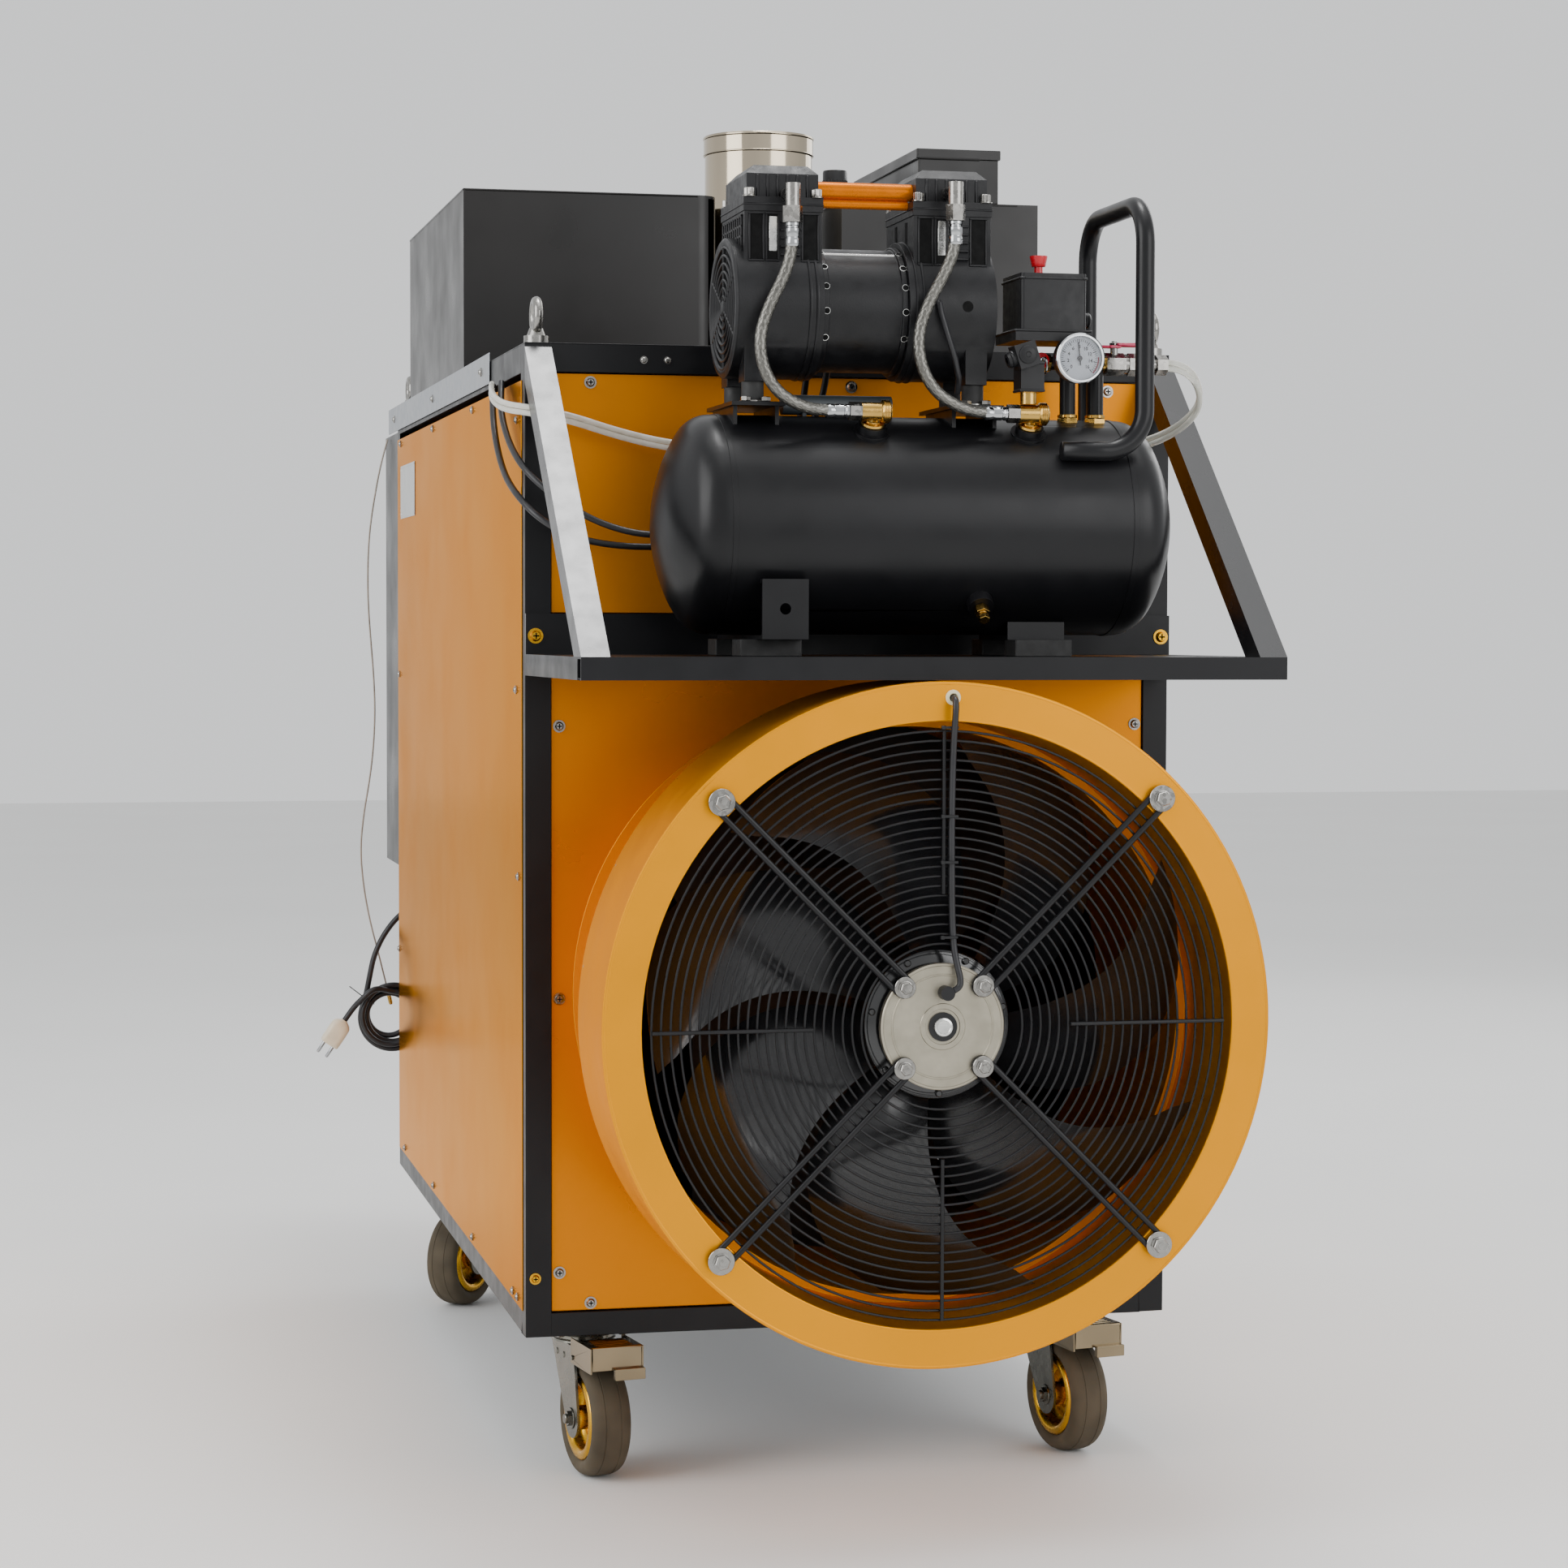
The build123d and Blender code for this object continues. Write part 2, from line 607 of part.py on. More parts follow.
def receiver():
    hull = dished_tank(TANK_R, TANK_LEFT, TANK_RIGHT)
    for x in (TANK_LEFT + TANK_HEAD, TANK_RIGHT - TANK_HEAD):
        hull += bar((x - 2.5, TANK_Y, TANK_Z), (x + 2.5, TANK_Y, TANK_Z), TANK_R + 0.8)
    solid = dished_tank(TANK_R - 0.5, TANK_LEFT + 0.5, TANK_RIGHT - 0.5)
    for x in PORT_X:
        hull += boss(x, PORT_ANGLE, PORT_R + 4, TANK_R + 2)
        hull += boss(x, PORT_ANGLE, PORT_R, TANK_R + 9)
    hull += boss(DRAIN_X, DRAIN_ANGLE, 13, TANK_R + 9)
    front_foot = saddle(-161, -115, 108, 790)
    front_foot += block(-161, -115, TANK_Y - 108, TANK_Y - 96, 786, 790)
    front_foot += block(-161, -115, TANK_Y + 96, TANK_Y + 108, 786, 790)
    front_foot -= bar((-138, -400, 761), (-138, 0, 761), FOOT_BOLT_R)
    hull += front_foot - solid
    hull += saddle(102, 161, 52, 765) - solid
    for x0, x1 in ((-182, -128), (40, 94)):
        hull += block(x0, x1, TANK_Y - 62, TANK_Y + 62, PLATFORM, PLATFORM + 4)
        for x in (x0 + 4, x1 - 8):
            hull += block(x, x + 4, TANK_Y - 50, TANK_Y + 50, TANK_Z + 60, PLATFORM) - solid
    inner = dished_tank(TANK_R - TANK_WALL, TANK_LEFT + TANK_WALL, TANK_RIGHT - TANK_WALL)
    return hull - inner


PLATFORM = 960.0


def receiver_pads():
    pads = []
    for x0, x1 in ((-177, -115), (102, 161)):
        for y in (TANK_Y - 80, TANK_Y + 40):
            pads.append(block(x0, x1, y, y + 40, SHELF_TOP, PAD_TOP))
    return pads


def receiver_handle():
    """Goal-post handle: its two feet lie along the receiver's shoulders."""
    z = TANK_Z + 73
    reach = TANK_R + HANDLE_TUBE_R + 0.2
    side = (reach**2 - (z - TANK_Z)**2) ** 0.5
    front, rear = TANK_Y - side, TANK_Y + side
    points = [(145, front, z), (HANDLE_X, front, z), (HANDLE_X, front, HANDLE_TOP),
              (HANDLE_X, rear, HANDLE_TOP), (HANDLE_X, rear, z), (145, rear, z)]
    return bent_bar(points, 42.0, HANDLE_TUBE_R)


# ---------------------------------------------------------------- pump
def motor_case():
    """Motor barrel between the two crankcases, with its end bearings' seats."""
    barrel = bar((MOTOR_X[0], TANK_Y, PUMP_Z), (MOTOR_X[1], TANK_Y, PUMP_Z), MOTOR_R, MOTOR_R - 6)
    stator = bar((MOTOR_X[0] + 14, TANK_Y, PUMP_Z), (MOTOR_X[1] - 14, TANK_Y, PUMP_Z), MOTOR_R - 6, ROTOR_R + 1)
    for x0 in (MOTOR_X[0], MOTOR_X[1] - 6):
        barrel += bar((x0, TANK_Y, PUMP_Z), (x0 + 6, TANK_Y, PUMP_Z), MOTOR_R + 3, MOTOR_R - 6)
    return barrel + stator


def pump_half(case, tower, foot_x):
    """One crankcase with its cylinder tower; hollow, open towards the motor."""
    half = CYLINDER_HALF_DEPTH
    shape = bar((case[0], TANK_Y, PUMP_Z), (case[1], TANK_Y, PUMP_Z), CRANK_R)
    shape += block(tower[0], tower[1], TANK_Y - half, TANK_Y + half, PUMP_Z, CYLINDER_TOP)
    for side in (-1, 1):
        y = TANK_Y + side * 42
        shape += block(foot_x - 11, foot_x + 11, y - 14, y + 14, FOOT_TOP, PUMP_Z - 40)
    return shape


FOOT_TOP = 984.0
WALL_CAST = 5.0


def crankcases():
    """Two die-cast crankcases, each with a crank chamber, bearing seat and cylinder bore."""
    halves = []
    for case, tower, foot_x, outer in ((LEFT_CRANK_X, CYLINDER_X[0], PUMP_FOOT_X[0], -1),
                                       (RIGHT_CRANK_X, CYLINDER_X[1], PUMP_FOOT_X[1], 1)):
        shape = pump_half(case, tower, foot_x)
        middle = (tower[0] + tower[1]) / 2
        x0 = case[0] + (WALL_CAST if outer < 0 else 10)
        x1 = case[1] - (WALL_CAST if outer > 0 else 10)
        shape -= bar((x0, TANK_Y, PUMP_Z), (x1, TANK_Y, PUMP_Z), CRANK_R - WALL_CAST)
        shape -= bar((middle, TANK_Y, PUMP_Z), (middle, TANK_Y, CYLINDER_TOP + 1), 32)
        shape -= bar((case[0] - 1, TANK_Y, PUMP_Z), (case[1] + 1, TANK_Y, PUMP_Z), SHAFT_R + RUNNING_FIT)
        halves.append(shape)
    return halves


def cylinder_heads():
    """Two head castings with chamfered tops, corner bolts and outlet elbows."""
    heads = []
    half = CYLINDER_HALF_DEPTH
    for (x0, x1), port in zip(CYLINDER_X, HEAD_PORT):
        base = block(x0 - 1, x1 + 1, TANK_Y - half - 1, TANK_Y + half + 1, CYLINDER_TOP, CYLINDER_TOP + 14)
        crown = block(x0 + 3, x1 - 3, TANK_Y - half + 4, TANK_Y + half - 4, CYLINDER_TOP + 14, HEAD_TOP)
        crown = chamfer(crown.edges().group_by(Axis.Z)[-1], 9)
        head = base + crown
        for x in (x0 + 5, x1 - 5):
            for y in (TANK_Y - half + 2, TANK_Y + half - 2):
                head += hexagon((x, y, CYLINDER_TOP + 14), (x, y, CYLINDER_TOP + 22), 9)
        px, py, pz = port
        head += bar((px, TANK_Y - half + 6, pz), (px, py, pz), 6.5)
        head += bar((px, py, pz + 8), (px, py, pz - 14), 7.5)
        head += hexagon((px, py, pz - 30), (px, py, pz - 14), 17)
        heads.append(head)
    return heads


def crossover_pipe():
    """Wide air pipe between the two heads, with the thinner balance pipe under it."""
    x0 = CYLINDER_X[0][1]
    x1 = CYLINDER_X[1][0]
    y = TANK_Y - 30
    upper = bar((x0 - 3, y, CYLINDER_TOP + 24.5), (x1 + 3, y, CYLINDER_TOP + 24.5), 8.5)
    lower = bar((x0 + 1, y, CYLINDER_TOP + 11.8), (x1 - 1, y, CYLINDER_TOP + 11.8), 4.7)
    return upper + lower


def pump_feet():
    """Four rubber feet with their bolts between the crankcases and the platforms."""
    feet = []
    for x in PUMP_FOOT_X:
        for y in (TANK_Y - 42, TANK_Y + 42):
            foot = bar((x, y, PLATFORM + 4), (x, y, FOOT_TOP), 11)
            feet.append(foot)
    return feet


def pump_rotor():
    """Motor rotor with its through shaft, two cranks and two cooling fans."""
    x0 = LEFT_CRANK_X[0] + WALL_CAST + 3
    x1 = RIGHT_CRANK_X[1] - WALL_CAST - 3
    rotor = bar((x0, TANK_Y, PUMP_Z), (x1, TANK_Y, PUMP_Z), SHAFT_R)
    rotor += bar((MOTOR_X[0] + 16, TANK_Y, PUMP_Z), (MOTOR_X[1] - 16, TANK_Y, PUMP_Z), ROTOR_R)
    for low, high in CYLINDER_X:
        middle = (low + high) / 2
        rotor += bar((middle - 6, TANK_Y, PUMP_Z + 8), (middle + 6, TANK_Y, PUMP_Z + 8), 18)
        rotor += bar((middle + 7, TANK_Y, PUMP_Z - 12), (middle + 15, TANK_Y, PUMP_Z - 12), 26)
    for x in (x0, x1 - 8):
        disc = bar((x, TANK_Y, PUMP_Z), (x + 2, TANK_Y, PUMP_Z), 44)
        for count in range(8):
            blade = Pos(x + 4, TANK_Y, PUMP_Z) * Rot(45 * count, 0, 0) * Pos(0, 0, 29) * Box(8, 1.5, 30)
            disc += blade
        rotor += disc
    return rotor


HOSE_R = 6.0
HOSE_Y = -262.0
LEFT_HOSE = [(-126, HOSE_Y, 1135.9), (-126, HOSE_Y, 1110), (-134, HOSE_Y, 1084), (-149, HOSE_Y, 1056),
             (-159, HOSE_Y, 1026), (-156, HOSE_Y - 1, 996), (-142, HOSE_Y - 1, 972),
             (-117, HOSE_Y + 1, 958), (-91, -252.9, 955.1), (-67.2, -252.9, 955.1)]
RIGHT_HOSE = [(38, HOSE_Y, 1141.9), (38, HOSE_Y, 1115), (26, HOSE_Y, 1088), (10, HOSE_Y, 1060),
              (0, HOSE_Y, 1030), (3, HOSE_Y - 1, 1000), (17, HOSE_Y - 1, 975),
              (42, HOSE_Y + 1, 960), (69, -252.9, 955.1), (93.8, -252.9, 955.1)]


def compressor_hoses():
    return [cord("left hose", LEFT_HOSE, HOSE_R), cord("right hose", RIGHT_HOSE, HOSE_R)]


def check_valve(x):
    """Brass check valve: a barrel along X on a stem in the receiver's port."""
    y, z = radial(PORT_ANGLE, TANK_R + 23)
    foot_y, foot_z = radial(PORT_ANGLE, TANK_R + 9)
    valve = bar((x, foot_y, foot_z), (x, y, z), 8)
    valve += bar((x - 14, y, z), (x + 16, y, z), 9)
    valve += bar((x + 7, y, z), (x + 14, y, z), 11)
    valve += hexagon((x - 26, y, z), (x - 14, y, z), 16)
    return valve


def check_valves():
    return [check_valve(x) for x in PORT_X]


# ---------------------------------------------------------------- controls
MANIFOLD_Z = 1010.0


def switch_manifold():
    """Two risers from the receiver, the cross pipe between them and the safety valve's body."""
    y = VALVE_Y
    first = bar((173, y, TANK_Z + 95), (173, y, 1028), 8)
    second = bar((202, y, TANK_Z + 95), (202, y, MANIFOLD_Z + 9), 8.5)
    solid = dished_tank(TANK_R, TANK_LEFT, TANK_RIGHT)
    risers = first + second - solid
    cross = bar((SAFETY_X + 6, y, MANIFOLD_Z), (208, y, MANIFOLD_Z), 7)
    stub = bar((165, y, MANIFOLD_Z), (165, GAUGE_CENTRE[1] + 9, MANIFOLD_Z), 5)
    safety = bar((SAFETY_X, y, MANIFOLD_Z), (SAFETY_X, SAFETY_END, MANIFOLD_Z), 8)
    outlet = bar((208, y, MANIFOLD_Z), (212, y, MANIFOLD_Z), 8)
    return risers + cross + stub + safety + outlet


SAFETY_X = 136.0
SAFETY_END = -232.0
SAFETY_PIN_R = 3.0


def pressure_switch():
    """Switch housing on its base, with a square well for the knob."""
    cover = block(SWITCH_X[0] + 6, SWITCH_X[1], SWITCH_Y[0], SWITCH_Y[1], SWITCH_Z[0], SWITCH_Z[1])
    cover = fillet(cover.edges().filter_by(Axis.Z), 4)
    base = block(SWITCH_X[0], SWITCH_X[1] + 4, SWITCH_Y[0] - 2, SWITCH_Y[1] + 2, 1028, SWITCH_Z[0])
    well = bar((KNOB_X, -216, SWITCH_Z[1] - 22), (KNOB_X, -216, SWITCH_Z[1] + 1), KNOB_STEM_R + 0.5)
    return cover + base - well


KNOB_STEM_R = 4.5


def switch_knob():
    """Red pull-and-push knob on its stem."""
    stem = bar((KNOB_X, -216, SWITCH_Z[1] - 8), (KNOB_X, -216, SWITCH_Z[1] + 9), KNOB_STEM_R)
    crown = cone((KNOB_X, -216, SWITCH_Z[1] + 9), (KNOB_X, -216, SWITCH_Z[1] + 20), KNOB_R, KNOB_R + 2)
    return stem + crown


def gauge():
    """Gauge case with its bezel and dial; the front is open over the dial."""
    x, y, z = GAUGE_CENTRE
    case = bar((x, y - 8, z), (x, y + 9, z), GAUGE_R)
    case -= bar((x, y - 9, z), (x, y - 2, z), GAUGE_R - 2)
    case += bar((x, y - 3, z), (x, y - 2, z), 1.2)
    return case


def gauge_needle():
    """Needle that turns on the dial's centre pin."""
    x, y, z = GAUGE_CENTRE
    needle = Pos(x, y - 4.0, z) * Rot(0, -6, 0) * (Pos(0, 0, 4.5) * Box(1.2, 0.6, 23))
    needle += bar((x, y - 4.5, z), (x, y - 3.3, z), 2.6)
    return needle


def ball_valve():
    """Chromed ball valve with hexagon ends and the hose nut."""
    y = VALVE_Y
    z = MANIFOLD_Z
    body = hexagon((212, y, z), (232, y, z), 20)
    body += bar((232, y, z), (236, y, z), 9)
    body += hexagon((236, y, z), (246, y, z), 20)
    body += bar((246, y, z), (266, y, z), 6)
    body += hexagon((266, y, z), (277, y, z), 18)
    body += bar((VALVE_STEM_X, y, z), (VALVE_STEM_X, y, z + 16), VALVE_STEM_R)
    return body


def valve_lever():
    """Flat lever on the stem, lying along the pipe while the valve is open."""
    y = VALVE_Y
    z = MANIFOLD_Z + 16.3
    lever = block(VALVE_STEM_X - 6, VALVE_STEM_X + 6, y - 6, y + 6, z, z + 2.5)
    lever += block(VALVE_STEM_X - 16, VALVE_STEM_X - 6, y - 5, y + 5, z, z + 2.5)
    lever += block(VALVE_STEM_X + 2, VALVE_STEM_X + 24, y - 6, y + 6, z + 2, z + 5)
    return lever


def solenoid_valve():
    """Unloader valve: brass elbow, coil and its tilted plug-on connector."""
    x = PORT_X[1]
    y, z = radial(PORT_ANGLE, TANK_R + 23)
    elbow = bar((x - 4, y, z + 9.5), (x - 4, y, z + 22), 8)
    coil = Pos(x - 4, y - 2, z + 36) * Box(24, 26, 30)
    plug = Pos(x - 11, y - 11, z + 57) * Rot(0, -18, 0) * Box(22, 22, 24)
    return elbow + coil + plug


def capacitor():
    """Run capacitor lying across the receiver behind the left hose."""
    y = TANK_Y - 6
    z = TANK_Z + TANK_R + 10.6
    body = bar((-120, y, z), (-8, y, z), 10)
    feet = [block(x, x + 4, y - 8, y + 8, TANK_Z + TANK_R - 2, z - 6) for x in (-100, -32)]
    solid = dished_tank(TANK_R, TANK_LEFT, TANK_RIGHT)
    for foot in feet:
        body += foot - solid
    return body


def drain_cock():
    """Drain cock that unscrews from the drain boss: hexagon, neck and round tip."""
    cock = hexagon((DRAIN_X, *radial(DRAIN_ANGLE, TANK_R + 9.3)), (DRAIN_X, *radial(DRAIN_ANGLE, TANK_R + 18)), 13)
    cock += bar((DRAIN_X, *radial(DRAIN_ANGLE, TANK_R + 18)), (DRAIN_X, *radial(DRAIN_ANGLE, TANK_R + 21)), 4)
    cock += hexagon((DRAIN_X, *radial(DRAIN_ANGLE, TANK_R + 21)), (DRAIN_X, *radial(DRAIN_ANGLE, TANK_R + 27)), 10)
    return cock


def safety_ring():
    """Pull ring and its pin on the safety valve."""
    y = VALVE_Y
    pin = bar((SAFETY_X, SAFETY_END - 0.3, MANIFOLD_Z), (SAFETY_X, SAFETY_END - 8, MANIFOLD_Z), SAFETY_PIN_R)
    ring = Pos(SAFETY_X, SAFETY_END - 10, MANIFOLD_Z - 6) * Rot(0, 90, 0) * Torus(8, 1.0)
    return pin + ring


# ---------------------------------------------------------------- tubes and wiring
TUBE_R = 3.0
AIR_LINE = [(277.2, -200, 1013), (291, -200, 1013), (309, -196, 1003), (320, -186, 985), (321, -170, 968),
            (308, -140, 950), (284, -112, 938), (254, -86, 930), (215, -62, 926), (170, -47, 925),
            (122, -40, 927), (70, -37, 929), (16, -36, 930), (-40, -36, 929), (-96, -36, 929),
            (-152, -35, 930), (-207, -32, 934), (-260, -31, 946), (-308, -32, 961), (-348, -20, 969),
            (-368, 16, 974), (-373, 62, 984), (-371, 106, 996), (-364, 146, 1004)]


def air_line():
    """Twin clear tube from the ball valve round the receiver into the cabinet."""
    lower = [(x, y, z - 6.2) for x, y, z in AIR_LINE]
    return [cord("upper air tube", AIR_LINE, TUBE_R), cord("lower air tube", lower, TUBE_R)]


CABLE_R = 3.5
OUTER_SUPPLY = [(-360, 168, 1004), (-363, 150, 975), (-364, 120, 944), (-364, 82, 918), (-363, 38, 896),
                (-357, -8, 876), (-341, -33, 855), (-312, -42, 837), (-275, -45, 828), (-228, -46, 825),
                (-180, -46, 829), (-140, -48, 845), (-112, -54, 870), (-94, -62, 900), (-82, -72, 932),
                (-76, -84, 964), (-74, -96, 994), (-74, -108, 1020)]
INNER_SUPPLY = [(-357, 122, 1004), (-362, 96, 976), (-362, 62, 950), (-360, 24, 928), (-354, -12, 908),
                (-338, -32, 888), (-312, -40, 868), (-280, -44, 850), (-240, -53, 838), (-196, -57, 838),
                (-156, -58, 850), (-124, -63, 872), (-100, -70, 900), (-78, -78, 928), (-62, -87, 958),
                (-54, -97, 988), (-53, -108, 1018)]
FAN_LEAD = [(9, -365.7, 676.5), (9, -373, 675.6), (8.8, -377, 670), (8.4, -377, 660), (8, -373, 640),
            (7.6, -370, 608), (7.2, -369, 564), (7.4, -368.6, 516), (8, -368.6, 470), (9.4, -369, 438),
            (12.5, -372, 419), (15, -374.5, 408), (14.5, -375.4, 399), (8.5, -375.4, 396.4)]
FAN_LEAD_R = 3.2


def wiring():
    """Two supply cables to the compressor and the fan motor's lead with its grommet."""
    grommet = bar((9, FAN_FRONT - 2.5, 676.5), (9, FAN_FRONT, 676.5), 7, FAN_LEAD_R)
    return [cord("outer supply", OUTER_SUPPLY, CABLE_R), cord("inner supply", INNER_SUPPLY, CABLE_R),
            cord("fan lead", FAN_LEAD, FAN_LEAD_R), grommet]


SENSOR_R = 1.2
SENSOR_LEAD = [(-353, 1300, 1006), (-362, 1300, 975), (-371, 1298, 930), (-379, 1296, 880),
               (-382, 1294, 830), (-382, 1292, 780), (-379, 1290, 730), (-375, 1288, 680),
               (-373, 1287, 630), (-375, 1286, 580), (-381, 1284, 530), (-390, 1282, 482),
               (-395, 1281, 432), (-391, 1281, 382), (-382, 1283, 332), (-369, 1288, 284),
               (-357, 1293, 236)]


def sensor_lead():
    """Thin thermostat lead hanging beside the control box, with its metal probe."""
    last = Vector(*SENSOR_LEAD[-1])
    way = (last - Vector(*SENSOR_LEAD[-2])).normalized()
    tip = last + way * 26
    return [cord("sensor lead", SENSOR_LEAD, SENSOR_R), bar(last, tip, 3.0)]


POWER_LEAD = [(-318, 1275, 382.9), (-318, 1275, 365), (-330, 1275, 348), (-350, 1275, 330), (-366, 1275, 307),
              (-377, 1275, 282), (-382, 1275, 259), (-381, 1275, 239)]
PLUG_LEAD = [(-394.8, 1266, 226.9), (-403, 1265, 215.6), (-411.5, 1265, 204.8), (-419, 1266, 193.5)]


def power_cord():
    """Lead from the gland down to its coil, and the tail from the coil to the plug."""
    return [cord("power lead", POWER_LEAD, CORD_R), cord("plug tail", PLUG_LEAD, CORD_R)]


def power_cord_coil():
    """Outer shape of the tied coil of spare lead, hanging in the XZ plane."""
    x, y, z = COIL_CENTRE
    ring = bar((x, y - COIL_HALF_THICK, z), (x, y + COIL_HALF_THICK, z), COIL_R + 8, COIL_R - 14)
    return ring


def power_plug():
    """Two-pin plug lying off to the left below the coil."""
    start = Vector(*PLUG_LEAD[-1])
    way = (start - Vector(*PLUG_LEAD[-2])).normalized()
    shoulder = start + way * 6
    end = start + way * 40
    plug = cone(start, shoulder, 7, 14)
    plug += bar(shoulder, end, 14)
    plane = Plane(origin=end, z_dir=way)
    for side in (-1, 1):
        plug += plane * Pos(0, 9.5 * side, 9) * Cylinder(2.4, 18)
    return plug


# ---------------------------------------------------------------- casters
def on_caster(shape, x, y, turn):
    """Place a shape drawn with the swivel axis at the origin and the wheel towards -Y."""
    return Pos(x, y, 0) * Rot(0, 0, turn) * shape


def caster_fork(braked):
    """Swivel fork: ball race, yoke, two cheeks, the axle bolt and the pedal's pin."""
    yoke = block(-FORK_HALF, FORK_HALF, -TRAIL - 6, 32, -24, -20)
    race = bar((0, 0, -20), (0, 0, -CASTER_PLATE - 0.3), 30)
    fork = yoke + race
    for side in (-1, 1):
        x0 = side * (FORK_HALF - FORK_PLATE)
        x1 = side * FORK_HALF
        outline = Polyline((32, -20), (-TRAIL - 6, -20), (-TRAIL - FORK_END_R, AXLE_Z),
                           (-TRAIL + FORK_END_R, AXLE_Z), (32, -20))
        cheek = extrude(Plane.YZ * make_face(outline), FORK_PLATE)
        fork += Pos(min(x0, x1), 0, 0) * cheek
        fork += bar((x0, -TRAIL, AXLE_Z), (x1, -TRAIL, AXLE_Z), FORK_END_R)
        fork += hexagon((x1, -TRAIL, AXLE_Z), (x1 + side * 5, -TRAIL, AXLE_Z), 14)
    fork += bar((-FORK_HALF, -TRAIL, AXLE_Z), (FORK_HALF, -TRAIL, AXLE_Z), AXLE_R)
    if braked:
        y, z = PEDAL_PIVOT
        fork += bar((-PEDAL_PIN_HALF, y, z), (PEDAL_PIN_HALF, y, z), PEDAL_PIN_R)
    return fork


CASTER_PLATE = 4.0


def caster_wheel():
    """Rim with its hub tube and the crowned tyre round it."""
    section = make_face(Polyline((-22, AXLE_R + RUNNING_FIT), (22, AXLE_R + RUNNING_FIT), (22, 13), (5, 16),
                                 (5, 30), (16, 38), (16, 42), (-16, 42), (-16, 38), (-5, 30), (-5, 16),
                                 (-22, 13), (-22, AXLE_R + RUNNING_FIT)))
    rim = revolve(section, Axis.X)
    crown = [Line((-17, 42), (17, 42)), Line((17, 42), (WHEEL_HALF, 50)),
             ThreePointArc((WHEEL_HALF, 50), (WHEEL_HALF * 0.72, 60), (6, WHEEL_R)),
             Line((6, WHEEL_R), (-6, WHEEL_R)),
             ThreePointArc((-6, WHEEL_R), (-WHEEL_HALF * 0.72, 60), (-WHEEL_HALF, 50)),
             Line((-WHEEL_HALF, 50), (-17, 42))]
    tyre = revolve(make_face(Curve() + crown), Axis.X)
    return [Pos(0, -TRAIL, AXLE_Z) * rim, Pos(0, -TRAIL, AXLE_Z) * tyre]


PEDAL_PIVOT = (-TRAIL - 12.0, -30.0)
PEDAL_PIN_R = 2.5
PEDAL_PIN_HALF = 31.0


def caster_pedal():
    """Brake pedal: tread, front flange, toe lip and two ears on the fork's pin."""
    y, z = PEDAL_PIVOT
    inner = FORK_HALF + 0.5
    outer = inner + 2
    pedal = [block(-inner, inner, -103.5, -62, -12, -9.5),
             block(-inner, inner, -106, -103.5, -34, -9.5),
             block(-4, inner + 2, -112, -106, -44, -32)]
    pin = bar((-PEDAL_PIN_HALF, y, z), (PEDAL_PIN_HALF, y, z), PEDAL_PIN_R + RUNNING_FIT)
    for x0, x1 in ((-outer, -inner), (inner, outer)):
        pedal.append(block(x0, x1, -106, y + 7, -37, -9.5) - pin)
    return pedal


def caster_plates():
    """Fixed top plates of the four casters, bolted to the cabinet's cross channels."""
    plates = []
    for _, x, y, _ in CASTER_SPOTS:
        plates.append(block(x - 42, x + 42, y - 52, y + 52, -CASTER_PLATE, 0))
    return plates


# ---------------------------------------------------------------- write every node
save("cabinet_frame", *cabinet_frame(), *caster_plates())
save("side_panels", *side_panels())
save("front_panels", *front_panels())
save("rear_panel", rear_panel())
save("top_deck", top_deck())
save("roof_angles", *roof_angles())
save("panel_screws", *panel_screws())
save("heat_exchanger", *heat_exchanger())
save("burner", burner())
save("fan_shroud", fan_shroud())
save("fan_guard", *fan_guard())
save("fan_struts", *fan_struts())
save("fan_stator", fan_stator())
save("strut_bolts", *strut_bolts())
save("fan_impeller", fan_impeller())
save("compressor_shelf", *compressor_shelf())
save("lifting_eyes", *lifting_eyes())
save("oil_tank", oil_tank())
save("burner_box", *burner_box())
save("air_box", *air_box())
save("flue_stack", flue_stack())
save("control_box", control_box())
save("receiver", receiver())
save("receiver_pads", *receiver_pads())
save("receiver_handle", receiver_handle())
save("motor_case", motor_case())
save("crankcases", *crankcases())
save("cylinder_heads", *cylinder_heads())
save("crossover_pipe", crossover_pipe())
save("pump_feet", *pump_feet())
save("pump_rotor", pump_rotor())
save("compressor_hoses", *compressor_hoses())
save("check_valves", *check_valves())
save("switch_manifold", switch_manifold())
save("pressure_switch", pressure_switch())
save("switch_knob", switch_knob())
save("gauge", gauge())
save("gauge_needle", gauge_needle())
save("ball_valve", ball_valve())
save("valve_lever", valve_lever())
save("solenoid_valve", solenoid_valve())
save("capacitor", capacitor())
save("drain_cock", drain_cock())
save("safety_ring", safety_ring())
save("air_line", *air_line())
save("wiring", *wiring())
save("sensor_lead", *sensor_lead())
save("power_cord", *power_cord())
save("power_cord_coil", power_cord_coil())
save("power_plug", power_plug())
for spot, x, y, turn in CASTER_SPOTS:
    braked = spot in BRAKED_SPOTS
    save(f"caster_fork_{spot}", on_caster(caster_fork(braked), x, y, turn))
    save(f"caster_wheel_{spot}", *[on_caster(piece, x, y, turn) for piece in caster_wheel()])
    if braked:
        save(f"caster_pedal_{spot}", *[on_caster(piece, x, y, turn) for piece in caster_pedal()])
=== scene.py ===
import bpy
from itertools import product
from math import cos, hypot, pi, radians, sin
from mathutils import Matrix, Vector


